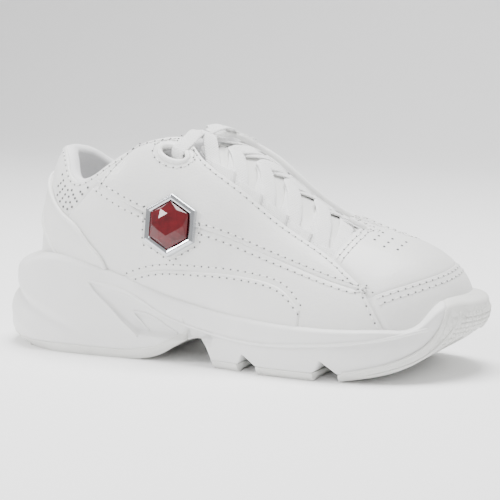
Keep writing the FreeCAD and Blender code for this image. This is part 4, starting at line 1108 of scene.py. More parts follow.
    def build_tread(self, repeats: Repeats) -> bpy.types.Object:
        """Chevron lugs under the heel and the forefoot."""
        points = (self.lug_points(19, 74, 9) + self.lug_points(118.5, 128, 5)
                  + self.lug_points(141, 164, 5) + self.lug_points(179, 206, 6))
        piece = repeats.grow("tread_lugs", repeats.lug_tree(), points, False,
                             {"Rubber": FINISH(RUBBER)}, smooth=False)
        return dress(piece, Body.SHOE, "outsole_rubber")

    def build_pebbles(self, repeats: Repeats) -> bpy.types.Object:
        """Pebbled face of the toe bumper, inside its smooth band."""
        points = []
        border = np.array(self.bumper_inner_line)
        for row, z in enumerate(np.arange(8.5, 28.5, 2.0)):
            reach = np.interp(z, border[:, 1], border[:, 0]) + 1.2
            place = self.place_at(np.array((reach,)), Side.OUTER)[0]
            last = self.place_at(np.array((reach,)), Side.INNER)[0]
            turn = np.linspace(place, last, 400)
            path = self.wall(turn, self.drop_at(turn, np.full(400, z)), 0.45)
            length = np.concatenate(([0], np.cumsum(
                np.linalg.norm(np.diff(path, axis=0), axis=1))))
            even = np.arange(0.6 + (row % 2) * 1.15, length[-1] - 0.6, 2.3)
            at = np.interp(even, length, turn)
            drop = self.drop_at(at, np.full(len(at), z))
            fits = (np.abs(self.wall(at, drop)[:, 2] - z) < 0.3) & (drop < 0.9)
            at, drop = at[fits], drop[fits]
            aside = self.wall(at + 0.002, drop) - self.wall(at - 0.002, drop)
            below = self.wall(at, drop + 0.01) - self.wall(at, drop - 0.01)
            points.append((self.wall(at, drop, 0.45), unit(np.cross(below, aside))))
        piece = repeats.grow("toe_bumper_pebbles", repeats.pebble_tree(), points, False,
                             {"Rubber": FINISH(RUBBER)})
        return dress(piece, Body.SHOE, "outsole_rubber")

    def build(self, repeats: Repeats) -> list[bpy.types.Object]:
        """Make and dress every piece of the sole."""
        flat = ((0, self.tread), (300, self.tread))
        return [
            self.build_midsole(), self.build_lines(), self.build_bumper_lines(),
            self.build_rubber("heel_rubber", "heel_outsole", None, 102.6, self.heel_band),
            self.build_rubber("rear_pod_rubber", "rear_forefoot_pod", 116.6, 129.3, flat),
            self.build_rubber("middle_pod_rubber", "middle_forefoot_pod", 138.7, 165.3, flat),
            self.build_rubber("toe_bumper_rubber", "toe_outsole", 176.2, None, self.toe_band),
            self.build_tread(repeats), self.build_pebbles(repeats),
        ]


# ---------------------------------------------------------------------------------------------
# The upper
# ---------------------------------------------------------------------------------------------
HOLE_SIDES = 32                       # corners of an eyelet's opening
SWELL_FRAMES = 20                     # steps for which padding is simulated


class Hem(Enum):
    """How one side of a piece of the upper ends, with its rows' distances in from the side."""

    RAISED = (0.0, 0.12, 0.3, 0.55, 0.9, 1.4, 2.1, 3.0)          # cut edge on top
    TUCKED = (-5.0, -3.6, -2.4, -1.4, -0.6, 0.4, 1.6, 3.0)       # runs on under its neighbour
    LASTED = (-1.5, 0.0, 1.5, 3.0)                               # drawn down into the sole


@dataclass
class Panel:
    """One cut piece of the upper, laid over a patch of the foot's surface."""

    name: str
    node: str
    patch: Patch
    hems: tuple[Hem, Hem, Hem, Hem]      # start, end, low and high side of the patch
    outer: float = 2.8                   # depth of its face
    inner: float = 1.8
    finish: Surface = LEATHER
    slot: str = "upper_leather"
    step: float = 2.4
    puff: float = 0.3                    # how far it stands out between its seams
    corner: float = 0.75                 # radius of a raised side's edge

    def lengths(self, form: FootForm, at: Array, across: bool) -> Array:
        """Lengths of the patch's cross lines at some places along it."""
        run = np.linspace(0, 1, 9)
        a, b = np.meshgrid(at, run, indexing="ij")
        places = self.patch(a, b) if across else self.patch(b, a)
        points = form.skin(places, self.outer)
        return np.linalg.norm(np.diff(points, axis=1), axis=2).sum(1)

    def positions(self, lengths: Array, first: Hem, last: Hem, count: int) -> Array:
        """Distances of the rows from the first side, for each length."""
        shrink = np.minimum(1.0, 0.42 * lengths / 3.0)[:, None]
        near = np.asarray(first.value)[None] * shrink
        far = lengths[:, None] - np.asarray(last.value)[::-1][None] * shrink
        share = np.linspace(0, 1, count + 2)[1:-1][None]
        middle = near[:, -1:] + (far[:, :1] - near[:, -1:]) * share
        return np.concatenate((near, middle, far), axis=1)

    def depth(self, gaps: Sequence[Array]) -> tuple[Array, Array]:
        """Depths of the face and the back at distances in from the four sides."""
        nearest = np.full_like(gaps[0], 60.0)
        drop, dive = np.zeros_like(nearest), np.zeros_like(nearest)
        for hem, gap in zip(self.hems, gaps):
            if hem is Hem.RAISED:
                bend = 1 - np.clip(gap / self.corner, 0, 1)
                drop = np.maximum(drop, self.corner * (1 - np.sqrt(1 - bend ** 2)))
            if hem is Hem.TUCKED:
                dive = np.maximum(dive, 1.15 * ease((0.9 - gap) / 2.6))
            if hem is not Hem.LASTED:
                nearest = np.minimum(nearest, np.maximum(gap, 0))
        swell = self.puff * (1 - np.exp(-(nearest / 4.5) ** 2))
        face = self.outer + swell - drop - dive
        return face, np.minimum(self.inner - dive, face - 0.15)

    def net(self, form: FootForm) -> tuple[Array, Array, Array]:
        """Nets of the face and the back, and the distance in from the nearest raised side."""
        start, end, low, high = self.hems
        middle = float(self.lengths(form, np.array([0.5]), across=False)[0])
        width = float(self.lengths(form, np.linspace(0.1, 0.9, 5), across=True).max())
        columns, rows = (max(3, int(size / self.step)) for size in (middle, width))
        run = self.positions(np.array([middle]), start, end, columns)[0]
        a = run / middle
        lengths = self.lengths(form, np.clip(a, 0, 1), across=True)
        up = self.positions(lengths, low, high, rows)
        b = up / np.maximum(lengths[:, None], 1e-6)
        gaps = (np.broadcast_to(run[:, None], up.shape),
                np.broadcast_to(middle - run[:, None], up.shape), up, lengths[:, None] - up)
        face, back = self.depth(gaps)
        places = self.patch(np.broadcast_to(a[:, None], b.shape), b)
        raised = [gap for hem, gap in zip(self.hems, gaps) if hem is Hem.RAISED]
        hem_gap = np.minimum.reduce(raised) if raised else np.full_like(face, 20.0)
        return form.skin(places, face), form.skin(places, back), hem_gap

    def build(self, form: FootForm) -> bpy.types.Object:
        """Make the piece."""
        face, back, hem_gap = self.net(form)
        draft = Draft()
        slab(draft, face, back, hem_gap=hem_gap)
        return draft.make(self.name, FINISH(self.finish), merge=0.004)

    def row(self, form: FootForm, side: int, inset: float, start: float = 0.0,
            end: float = 1.0, lift: float = 0.08) -> tuple[Array, Array]:
        """Path along one side, for a row of stitches.

        Args:
            form: The foot's surface.
            side: 0 start, 1 end, 2 low or 3 high.
            inset: Distance in from the side; negative runs on its neighbour.
            start: Where along the side it starts, as a share.
            end: Where it ends.
            lift: How far it lies above the face.

        Returns:
            The path and the surface's normals along it.
        """
        run = np.linspace(start, end, 160)
        across = side >= 2
        length = np.maximum(self.lengths(form, run, across), 1e-6)
        share = inset / length
        if side in (1, 3):
            share = 1 - share
        places = self.patch(run, share) if across else self.patch(share, run)
        face = self.outer + self.puff * (1 - math.exp(-(inset / 4.5) ** 2)) + lift
        return form.skin(places, face), form.normal(places[:, 0], places[:, 1])


def mirrored(points: Sequence[Sequence[float]]) -> list[tuple[float, float, float]]:
    """The same points on the inner side of the heel, where the shoe is nearly symmetric."""
    return [(x, -y, z) for x, y, z in points]


@dataclass
class Upper:
    """Leather panels, linings, stitching and perforations, all over the foot's surface."""

    form: FootForm
    outer_eyestay: tuple = ((101.5, -19, 94), (114.5, -21, 82), (140.5, -22, 65),
                            (166.5, -24, 48), (184.5, -32, 38))
    inner_eyestay: tuple = ((111.5, 20, 95), (124, 21, 86), (141, 20, 72), (159, 20, 62),
                            (173, 20, 56), (186, 30, 40))
    outer_seam: tuple = ((57, -26, 74), (75, -28, 66), (110.5, -30, 58), (156.5, -35, 47),
                         (184, -33, 38.5))
    inner_seam: tuple = ((57, 25, 74), (75, 25, 66), (110.5, 28, 58), (156.5, 34, 46),
                         (186, 31, 38.5))
    outer_border: tuple = ((71.5, -22, 90), (62.5, -25, 78.6), (51, -25, 68), (42.5, -24, 59.5))
    inner_border: tuple = ((71.5, 21, 91), (62.5, 24, 79), (51, 24, 69), (42.5, 23, 59.5))
    outer_top: tuple = ((71.5, -22, 91), (61, -24, 84), (52, -24, 77), (45, -23, 75),
                        (38.6, -20, 79), (33, -12, 86))
    inner_top: tuple = ((71.5, 21, 92), (61, 23, 86), (52, 23, 81), (45, 22, 79.5),
                        (38.6, 19, 82), (33, 12, 87))
    outer_tab: tuple = ((76, -21, 95), (82.5, -19, 99), (93.5, -14, 101))
    inner_tab: tuple = ((82, 21, 97), (92, 19, 101.5), (103.5, 18, 101.5))
    heel_top: tuple = (26.5, 0, 89)
    strap_front: tuple = ((64, -30, 38), (60.5, -29, 44.2), (55.6, -28, 48.7), (48.7, -26, 55.6),
                          (41, -23, 60), (34, -17, 65.5), (28.4, -10, 71.5))
    strap_front_back: tuple = (24.7, 0, 76)
    strap_rear: tuple = ((41, -25, 37), (37, -23, 43), (30, -16, 52), (25, -10, 59),
                         (21.5, -5, 63.5))
    strap_rear_back: tuple = (20, 0, 65.5)
    saddle_outer: tuple = ((72, -30, 34.5), (82, -30, 38.3), (106.5, -32, 40.5),
                           (134.5, -35, 39.5), (150, -37, 35.5), (158, -38, 28))
    saddle_inner: tuple = ((72, 26, 34.5), (82, 26, 38.3), (106.5, 28, 41), (134.5, 33, 40),
                           (150, 36, 36), (158, 37, 28))
    throat: tuple = ((166.5, -24, 49), (169.5, -12, 57), (171.5, 2, 60), (173, 12, 59.5),
                     (173, 20, 55))
    toe_seam: tuple = ((188, -32, 36.5), (196, -27, 40), (205, -16, 43), (210, 0, 44.5),
                       (206.5, 16, 44), (198, 26, 42), (189, 32, 37))
    pad_floor: float = 60.0
    outer_eyelet: tuple = (90.5, -20, 89.5)
    inner_eyelet: tuple = (101.5, 19, 92.5)
    eyelet_radii: tuple = (8.0, 4.5)
    panels: dict = field(default_factory=dict)

    def around(self, outer: Sequence, back: Sequence, inner: Sequence) -> Line:
        """A line from the outer side round the heel to the inner side."""
        points = list(outer) + [back] + list(inner)[::-1]
        return self.form.line(points, around_heel=True)

    def outer_pad_low(self) -> list:
        """Lower side of the collar's padding, on the outer side, from the front."""
        return [(96, -21, 90), (84, -25, 81), (70, -27, 72), (55, -27, 65), (42, -24, 61),
                (30, -13, self.pad_floor)]

    def inner_pad_low(self) -> list:
        """Lower side of the collar's padding, on the inner side, from the front."""
        return [(105, 20, 90), (88, 23, 81), (70, 24, 72), (55, 25, 65), (42, 23, 61),
                (30, 13, self.pad_floor)]

    def lay_out(self) -> None:
        """Work out every panel's patch from the seam lines."""
        form, put = self.form, self.panels
        raised, tucked, lasted = Hem.RAISED, Hem.TUCKED, Hem.LASTED
        front = [form.edge_place(199, -33, 16), form.edge_place(201, 30, 16)]
        back = [form.edge_place(66, -29, 29), form.edge_place(66, 24, 29)]
        strap = [form.edge_place(42, -25, 30), form.edge_place(42, 24, 30)]
        tops = [form.line(self.outer_top[:1] + self.outer_tab + self.outer_eyestay),
                form.line(self.inner_top[:1] + self.inner_tab + self.inner_eyestay)]
        seams = [form.line(self.outer_seam), form.line(self.inner_seam)]
        low_tops = [form.line(self.outer_border[:1:-1] + self.outer_seam),
                    form.line(self.inner_border[:1:-1] + self.inner_seam)]
        saddles = [form.line(self.saddle_outer), form.line(self.saddle_inner)]
        saddle_ends = [(form.edge_place(72, -29, 28), form.edge_place(158, -36, 13)),
                       (form.edge_place(72, 24, 28), form.edge_place(158, 34, 13))]
        for k, word in enumerate(("lateral", "medial")):
            put[f"{word}_quarter"] = Panel(
                f"{word}_quarter_leather", f"{word}_quarter", between(seams[k], tops[k]),
                (raised, raised, raised, raised), outer=3.15, inner=0.3, step=1.8)
            put[f"{word}_lower_quarter"] = Panel(
                f"{word}_lower_quarter_leather", f"{word}_lower_quarter",
                between(form.edge_line(back[k], front[k]), low_tops[k]),
                (tucked, raised, lasted, tucked))
            put[f"{word}_saddle"] = Panel(
                f"{word}_saddle_leather", f"{word}_saddle",
                between(form.edge_line(*saddle_ends[k]), saddles[k]),
                (raised, raised, lasted, raised), outer=3.8, inner=2.3, finish=OVERLAY, puff=0.15)
        front_line = self.around(self.strap_front, self.strap_front_back,
                                 mirrored(self.strap_front))
        rear_line = self.around(self.strap_rear, self.strap_rear_back, mirrored(self.strap_rear))
        put["heel_strap"] = Panel("heel_strap_leather", "heel_strap",
                                  between(rear_line, front_line),
                                  (raised, raised, raised, raised), outer=3.8, inner=2.0,
                                  finish=OVERLAY, puff=0.25)
        put["backstay"] = Panel("backstay_leather", "backstay",
                                between(form.edge_line(strap[0], strap[1] - 1), rear_line),
                                (tucked, tucked, lasted, tucked))
        collar_low = self.around(self.outer_border + self.strap_front[-2:], self.strap_front_back,
                                 self.inner_border + tuple(mirrored(self.strap_front[-2:])))
        collar_top = self.around(self.outer_top, self.heel_top, self.inner_top)
        put["collar_panel"] = Panel("perforated_collar_leather", "collar_panel",
                                    between(collar_low, collar_top),
                                    (raised, raised, tucked, raised), outer=2.7, inner=1.2,
                                    step=2.0, puff=0.2)
        throat, toe_seam = space_line(self.throat), space_line(self.toe_seam)
        vamp = woven_patch(form, throat, toe_seam)
        toe = between(form.edge_line(*front), form.line(self.toe_seam))
        put["vamp"] = Panel("vamp_leather", "vamp", vamp, (tucked, tucked, raised, tucked),
                            inner=0.4)
        put["toe_cap"] = Panel("toe_leather", "toe_cap", toe, (tucked, tucked, lasted, raised),
                               outer=2.85, corner=0.3)
        put["vamp_lining"] = self.lining("vamp_lining", vamp)
        put["toe_lining"] = self.lining("toe_lining", toe)
        start = 0.035
        sides = (("lateral", start, front[0], self.outer_pad_low(), self.outer_eyestay[1:]),
                 ("medial", 1 - start, front[1], self.inner_pad_low(), self.inner_eyestay[1:]))
        for word, first, last, low, eyestay in sides:
            patch = between(form.edge_line(first, last), form.line(low[::-1] + list(eyestay)))
            put[f"{word}_lining"] = self.lining(f"{word}_lining", patch)
        heel = form.line([(30, -13, self.pad_floor), (21, 0, self.pad_floor),
                          (30, 13, self.pad_floor)], around_heel=True)
        put["heel_lining"] = self.lining("heel_lining",
                                         between(form.edge_line(start, -start), heel))

    def lining(self, node: str, patch: Patch) -> Panel:
        """A piece of lining, which meets its neighbours without a step."""
        plain = Hem.RAISED
        return Panel(f"{node}_fabric", node, patch, (plain, plain, Hem.LASTED, plain), outer=0.6,
                     inner=0.0, finish=LINING, slot="lining_fabric", puff=0.0, corner=0.2, step=3.2)

    def eyelet_frame(self, centre: Sequence[float]) -> tuple[Array, Array, Array, Array]:
        """An eyelet's centre on the surface, with its long, short and outward directions."""
        place = self.form.settle([centre])
        base = self.form.skin(place, 0.0)[0]
        out = self.form.normal(place[:, 0], place[:, 1])[0]
        slope = np.array((1, 0, -0.35))
        long_way = unit(slope - out * slope.dot(out))
        return base, long_way, np.cross(out, long_way), out

    def oval(self, centre: Sequence[float], grow: float, count: int) -> Array:
        """Points of an oval round an eyelet, laid on the surface."""
        base, long_way, short_way, _ = self.eyelet_frame(centre)
        turn = np.linspace(0, math.tau, count, endpoint=False)
        long_half, short_half = (radius + grow for radius in self.eyelet_radii)
        flat = (base + long_way * (np.cos(turn) * long_half)[:, None]
                + short_way * (np.sin(turn) * short_half)[:, None])
        return self.form.settle(flat)

    def pierce(self, piece: bpy.types.Object, centre: Sequence[float]) -> bpy.types.Object:
        """Cut an eyelet's opening through a closed piece."""
        base, long_way, short_way, out = self.eyelet_frame(centre)
        turn = np.linspace(0, math.tau, HOLE_SIDES, endpoint=False)
        long_half, short_half = (radius - 1.7 for radius in self.eyelet_radii)
        ring = (long_way * (np.cos(turn) * long_half)[:, None]
                + short_way * (np.sin(turn) * short_half)[:, None])
        draft = Draft()
        draft.add_net(np.stack((base + ring - out * 9, base + ring + out * 9)), closed=True)
        draft.add_face(list(range(HOLE_SIDES)))
        draft.add_face(list(range(2 * HOLE_SIDES - 1, HOLE_SIDES - 1, -1)))
        cutter = draft.make("eyelet_cutter", piece.data.materials[0])
        cut = piece.modifiers.new("eyelet", "BOOLEAN")
        cut.operation, cut.object, cut.solver = "DIFFERENCE", cutter, "EXACT"
        graph = bpy.context.evaluated_depsgraph_get()
        mesh = bpy.data.meshes.new_from_object(piece.evaluated_get(graph))
        piece.modifiers.clear()
        piece.data = mesh
        bpy.data.objects.remove(cutter)
        return piece

    def build_eyelets(self) -> list[bpy.types.Object]:
        """A rolled oval ring in each top eyelet."""
        made = []
        for word, centre in (("lateral", self.outer_eyelet), ("medial", self.inner_eyelet)):
            places = self.oval(centre, -1.1, 49)
            places[-1] = places[0]
            path = self.form.skin(places, 3.5)
            draft = Draft()
            turn = np.linspace(0, math.tau, 12, endpoint=False)
            out = self.form.normal(places[:, 0], places[:, 1])
            along = unit(np.roll(path[:-1], -1, axis=0) - np.roll(path[:-1], 1, axis=0))
            across = unit(np.cross(out[:-1], along))
            rings = (path[:-1, None] + across[:, None] * (np.cos(turn) * 1.15)[None, :, None]
                     + out[:-1, None] * (np.sin(turn) * 0.75)[None, :, None])
            rings = np.concatenate((rings, rings[:1]))
            draft.add_net(rings, closed=True)
            piece = draft.make(f"{word}_eyelet", FINISH(ACETAL), merge=0.01)
            made.append(dress(piece, Body.SHOE, "eyelet_plastic", f"{word}_eyelet_ring"))
        return made

    def stitch_rows(self) -> list[tuple[Array, Array]]:
        """Every row of stitches on the leather."""
        form, rows = self.form, []
        for word, centre in (("lateral", self.outer_eyelet), ("medial", self.inner_eyelet)):
            quarter = self.panels[f"{word}_quarter"]
            rows += [quarter.row(form, 2, 1.9), quarter.row(form, 3, 2.1),
                     quarter.row(form, 0, 2.0), quarter.row(form, 1, 1.8)]
            rows.append(quarter.row(form, 2, -2.4, lift=-0.2))
            saddle = self.panels[f"{word}_saddle"]
            rows += [saddle.row(form, 3, 1.7, 0.02, 0.98),
                     saddle.row(form, 3, -2.3, 0.0, 0.98, lift=-0.75)]
            low = self.panels[f"{word}_lower_quarter"]
            rows.append(low.row(form, 1, 1.8, 0.12, 0.95))
            oval = self.oval(centre, 1.7, 60)
            rows.append((form.skin(oval, 3.5), form.normal(oval[:, 0], oval[:, 1])))
        vamp, toe = self.panels["vamp"], self.panels["toe_cap"]
        rows += [vamp.row(form, 2, 1.8, 0.03, 0.97), vamp.row(form, 2, 4.3, 0.03, 0.97),
                 toe.row(form, 3, 1.6, 0.02, 0.98), toe.row(form, 3, 4.4, 0.02, 0.98)]
        collar = self.panels["collar_panel"]
        rows.append(collar.row(form, 3, 1.8, 0.03, 0.97))
        return rows

    def perforations(self) -> list[tuple[Array, Array]]:
        """Staggered holes of the collar's panel, and the vents of the vamp."""
        form, collar = self.form, self.panels["collar_panel"]
        places = []
        length = float(collar.lengths(form, np.array([0.5]), across=False)[0])
        for row in range(9):
            run = np.arange(7.0 + (row % 2) * 1.6, length - 7, 3.2) / length
            widths = collar.lengths(form, run, across=True)
            up = 3.0 + row * 2.7
            fits = (up < widths - 4.2) & ((run < 0.36) | (run > 0.64))
            if fits.any():
                places.append(collar.patch(run[fits], (up / widths)[fits]))
        collar_holes = np.concatenate(places)
        vents = [(x, y + side * (5.5 + 4.4 * k) + 5.5, 60 - 0.55 * (x - 176))
                 for side in (-1, 1) for x, shift in ((179.5, 0), (184.5, 2.2), (189.5, 0))
                 for k in range(3) for y in (shift * side,)]
        vamp_holes = form.settle(vents)
        found = []
        for holes, depth in ((collar_holes, 2.93), (vamp_holes, 3.12)):
            found.append((form.skin(holes, depth), form.normal(holes[:, 0], holes[:, 1])))
        return found

    def build(self, repeats: Repeats, badge_outline: Array) -> list[bpy.types.Object]:
        """Make and dress every piece of the upper."""
        self.lay_out()
        made = []
        for word, panel in self.panels.items():
            piece = panel.build(self.form)
            if word == "lateral_quarter":
                self.pierce(piece, self.outer_eyelet)
            if word == "medial_quarter":
                self.pierce(piece, self.inner_eyelet)
            made.append(dress(piece, Body.SHOE, panel.slot, panel.node))
        rows = self.stitch_rows()
        rows.append((self.form.skin(badge_outline, 3.2),
                     self.form.normal(badge_outline[:, 0], badge_outline[:, 1])))
        stitching = repeats.grow("upper_stitching", repeats.stitch_tree(), rows, True,
                                 {"Thread": FINISH(THREAD), "Hole_shade": FINISH(HOLE_SHADE)})
        # Perforations are dark discs of painted shade, not cut holes.
        holes = repeats.grow("upper_perforations", repeats.perforation_tree(),
                             self.perforations(), False, {"Hole_shade": FINISH(HOLE_SHADE)},
                             smooth=False)
        made += [dress(stitching, Body.SHOE, "upper_leather"),
                 dress(holes, Body.SHOE, "upper_leather")]
        return made + self.build_piping() + self.build_eyelets()

    def build_piping(self) -> list[bpy.types.Object]:
        """Corded edges of the heel strap."""
        draft = Draft()
        strap = self.panels["heel_strap"]
        for side in (2, 3):
            path, out = strap.row(self.form, side, 0.5, 0.005, 0.995, lift=-0.1)
            rod(draft, path, out, 1.9, 1.7, 10)
        piece = draft.make("heel_strap_piping", FINISH(OVERLAY))
        return [dress(piece, Body.SHOE, "upper_leather")]


# ---------------------------------------------------------------------------------------------
# Padded collar and tongue, sockliner
# ---------------------------------------------------------------------------------------------
def inflate(piece: bpy.types.Object, pinned: Array, pressure: float, limit: float) -> None:
    """Swell a closed padded piece between its seams by cloth simulation.

    Args:
        piece: The piece; its mesh is replaced by the result.
        pinned: One number per point, 1 where a seam holds it.
        pressure: Air pressure inside it.
        limit: Most that a point may move, in millimetres.
    """
    rest = np.array([v.co for v in piece.data.vertices])
    group = piece.vertex_groups.new(name="seams")
    for index in np.flatnonzero(pinned > 0):
        group.add([int(index)], float(pinned[index]), "REPLACE")
    cloth = piece.modifiers.new("fill", "CLOTH")
    settings = cloth.settings
    settings.quality, settings.mass = 6, 0.2
    settings.vertex_group_mass = "seams"
    settings.use_pressure = True
    settings.uniform_pressure_force = pressure
    settings.effector_weights.gravity = 0.0
    scene = bpy.context.scene
    for number in range(1, SWELL_FRAMES + 1):
        scene.frame_set(number)
    graph = bpy.context.evaluated_depsgraph_get()
    swollen = bpy.data.meshes.new_from_object(piece.evaluated_get(graph))
    moved = np.array([v.co for v in swollen.vertices]) - rest
    bpy.data.meshes.remove(swollen)
    scene.frame_set(1)
    piece.modifiers.clear()
    piece.vertex_groups.clear()
    far = np.linalg.norm(moved, axis=1, keepdims=True)
    LOG.info("%s swells by up to %.2f mm, %.2f mm on average over %d free points", piece.name,
             far.max() / MM, far[pinned < 1].mean() / MM, int((pinned < 1).sum()))
    moved *= np.minimum(1.0, limit * MM / np.maximum(far, 1e-9))
    piece.data.vertices.foreach_set("co", (rest + moved).astype(np.float32).ravel())
    piece.data.update()


@dataclass
class Collar:
    """Foam-filled collar with a rolled top and a brushed lining."""

    upper: Upper
    face: float = 1.5                # depth under the leather
    lining: float = -3.9             # depth at the ankle
    roll: float = 2.3                # how far the roll stands above the leather's edge
    swell_limit: float = 1.1

    def build(self) -> bpy.types.Object:
        """Make the collar's padding."""
        form, upper = self.upper.form, self.upper
        low = upper.around(upper.outer_pad_low(), (21, 0, upper.pad_floor), upper.inner_pad_low())
        top = upper.around(((98, -15, 96), (88, -17, 99)) + upper.outer_tab[:1]
                           + upper.outer_top[1:], upper.heel_top,
                           ((108, 15, 96), (98, 18, 100)) + upper.inner_tab[:1]
                           + upper.inner_top[1:])
        patch = between(low, top)
        face_rows, roll_rows, lining_rows = 9, 9, 15
        columns = np.linspace(0.004, 0.996, 150)
        height = Panel("measure", "", patch, (Hem.RAISED,) * 4).lengths(form, columns, True)
        middle, half = (self.face + self.lining) / 2, (self.face - self.lining) / 2
        up = np.linspace(0, 1, face_rows)
        turn = np.linspace(0, math.pi, roll_rows + 2)[1:-1]
        down = np.linspace(1, 0, lining_rows)
        b = np.concatenate((up, np.ones_like(turn), down))
        lift = np.concatenate((np.zeros(face_rows), np.sin(turn) * self.roll,
                               np.zeros(lining_rows)))
        depth = np.concatenate((np.full(face_rows, self.face), middle + np.cos(turn) * half,
                                self.lining * ease(down / 0.4) - 0.15))
        swell = np.concatenate((np.zeros(face_rows + roll_rows), -0.5 * np.sin(np.pi * down)))
        tip = np.minimum(1.0, np.minimum(columns, 1 - columns) / 0.03) ** 0.5
        shares = b[None] + lift[None] * tip[:, None] / height[:, None]
        depths = middle + (depth + swell - middle)[None] * (0.35 + 0.65 * tip[:, None])
        places = patch(np.broadcast_to(columns[:, None], shares.shape), shares)
        rings = form.skin(places, depths)
        draft = Draft()
        first = draft.add_net(rings, closed=True)
        size = rings.shape[1]
        draft.add_face([first + k for k in range(size)])
        draft.add_face([first + (len(columns) - 1) * size + k for k in reversed(range(size))])
        piece = draft.make("collar_pad", FINISH(LINING))
        free = np.concatenate((np.zeros(20), np.ones(11), np.zeros(2)))   # the ankle's face
        pinned = np.tile(1 - free, (len(columns), 1))
        pinned[:4], pinned[-4:] = 1, 1
        inflate(piece, pinned.ravel(), 4.0, self.swell_limit)
        upper.pierce(piece, upper.outer_eyelet)
        upper.pierce(piece, upper.inner_eyelet)
        return dress(piece, Body.SHOE, "padding_foam", "collar_padding", "collar_lining")


@dataclass
class Throat:
    """The opening that the laces close: its edges, as distances down from the ridge."""

    upper: Upper

    def __post_init__(self) -> None:
        """Fit both edges."""
        self.edges = {Side.OUTER: self.edge(self.upper.outer_eyestay[:4]),
                      Side.INNER: self.edge(self.upper.inner_eyestay[:5])}

    def edge(self, points: Sequence[Sequence[float]]) -> Callable[[Array], Array]:
        """How far down from the ridge an edge lies, as a function of the ridge's x."""
        places = self.upper.form.settle(points)
        stations = self.upper.form.edge(places[:, 0])[:, 7]
        curve = Spline(stations, 1 - places[:, 1:])
        return lambda x: curve(np.clip(x, stations[0], stations[-1]))[..., 0]

    def side(self, ridge_x: Array, side: Side, tuck: float = 0.0) -> Array:
        """Signed distance from the ridge to one edge."""
        return side.value * (self.edges[side](np.asarray(ridge_x, float)) + tuck)


@dataclass
class Tongue:
    """Padded tongue under the laces."""

    throat: Throat
    start: float = 93.0
    end: float = 177.0               # its root is sewn in under the vamp
    tuck: float = 0.07
    face: float = -2.7
    back: float = -6.1

    def patch(self, a: Array, b: Array) -> Array:
        """Places on the tongue, from its top to its root and from outer to inner side."""
        ridge_x = self.start + (self.end - self.start) * a
        outer = self.throat.side(ridge_x, Side.OUTER, self.tuck)
        inner = self.throat.side(ridge_x, Side.INNER, self.tuck)
        return self.throat.upper.form.over_ridge(ridge_x, outer + (inner - outer) * b + 1e-6)

    def build(self) -> list[bpy.types.Object]:
        """Make the tongue's padded leather and its lining."""
        form = self.throat.upper.form
        a = np.concatenate((0.006 + np.array((0, 0.004, 0.011, 0.02)),
                            np.linspace(0.04, 0.985, 60)))
        b = 0.5 - 0.49 * np.cos(np.linspace(0, math.pi, 49))
        aa, bb = np.meshgrid(a, b, indexing="ij")
        places = self.patch(aa, bb)
        rim = np.minimum.reduce(((aa - 0.006) * 72, bb * 44, (1 - bb) * 44))
        bend = 1 - np.clip(rim / 1.7, 0, 1)
        drop = 1.6 * (1 - np.sqrt(1 - bend ** 2))
        seam = 0.5 * np.exp(-((rim - 5.0) / 0.9) ** 2)
        face = form.skin(places, self.face - drop - seam)
        back = form.skin(places, self.back + drop)
        draft = Draft()
        slab(draft, face, back)
        leather = draft.make("tongue_pad", FINISH(LEATHER), merge=0.004)
        inner = Draft()
        slab(inner, form.skin(places, self.back - 0.1),
             form.skin(places, self.back - 0.7 + 0.25 * drop))
        lining = inner.make("tongue_lining_fabric", FINISH(LINING), merge=0.004)
        return [dress(leather, Body.TONGUE, "upper_leather", "tongue", "tongue_padding"),
                dress(lining, Body.TONGUE, "lining_fabric", "tongue_lining")]

    def stitches(self, repeats: Repeats) -> bpy.types.Object:
        """The seam round the tongue's padding."""
        form = self.throat.upper.form
        a = np.concatenate((np.linspace(0.9, 0.08, 80), np.full(60, 0.08),
                            np.linspace(0.08, 0.9, 80)))
        b = np.concatenate((np.full(80, 0.12), np.linspace(0.12, 0.88, 60), np.full(80, 0.88)))
        places = self.patch(a, b)
        row = (form.skin(places, self.face - 0.25), form.normal(places[:, 0], places[:, 1]))
        piece = repeats.grow("tongue_stitching", repeats.stitch_tree(), [row], True,
                             {"Thread": FINISH(THREAD), "Hole_shade": FINISH(HOLE_SHADE)})
        return dress(piece, Body.TONGUE, "upper_leather")


@dataclass
class Sockliner:
    """Removable footbed with a knit top."""

    sole: Sole
    form: FootForm
    inset: float = 1.3
    lift: float = 0.25
    thickness: float = 3.4

    def build(self) -> bpy.types.Object:
        """Make the sockliner."""
        even = np.linspace(0, 1, 130)
        share = 0.5 * (1 - np.cos(np.linspace(0, math.pi, 130))) * 0.5 + even * 0.5
        edges = []
        for place in (share * 0.5, 1 - share * 0.5):
            point = self.form.point(place, np.zeros_like(place))
            out = self.form.normal(place, np.zeros_like(place))
            out[:, 2] = 0
            edges.append(point - unit(out) * self.inset)
        outer, inner = edges
        across = 0.5 - 0.5 * np.cos(np.linspace(0, math.pi, 21))
        span = outer[:, None] + (inner - outer)[:, None] * across[None, :, None]
        x = np.clip(span[..., 0], 16, 219)
        bottom = self.sole.bed(x) + self.lift
        edge = np.minimum(across, 1 - across)
        round_off = 1.4 * np.exp(-(edge[None] * np.linalg.norm(inner - outer, axis=1)[:, None]
                                   / 1.0) ** 1.5)
        top = span.copy()
        top[..., 2] = bottom + self.thickness - round_off - 0.5 * np.sin(np.pi * across)[None] ** 2
        low = span.copy()
        low[..., 2] = bottom + round_off * 0.3
        rings = np.concatenate((top, low[:, ::-1]), axis=1)
        draft = Draft()
        draft.add_net(rings, closed=True)
        piece = draft.make("knit_sockliner", FINISH(SOCK_KNIT), merge=0.05)
        return dress(piece, Body.SOCKLINER, "sockliner_fabric", "sockliner")


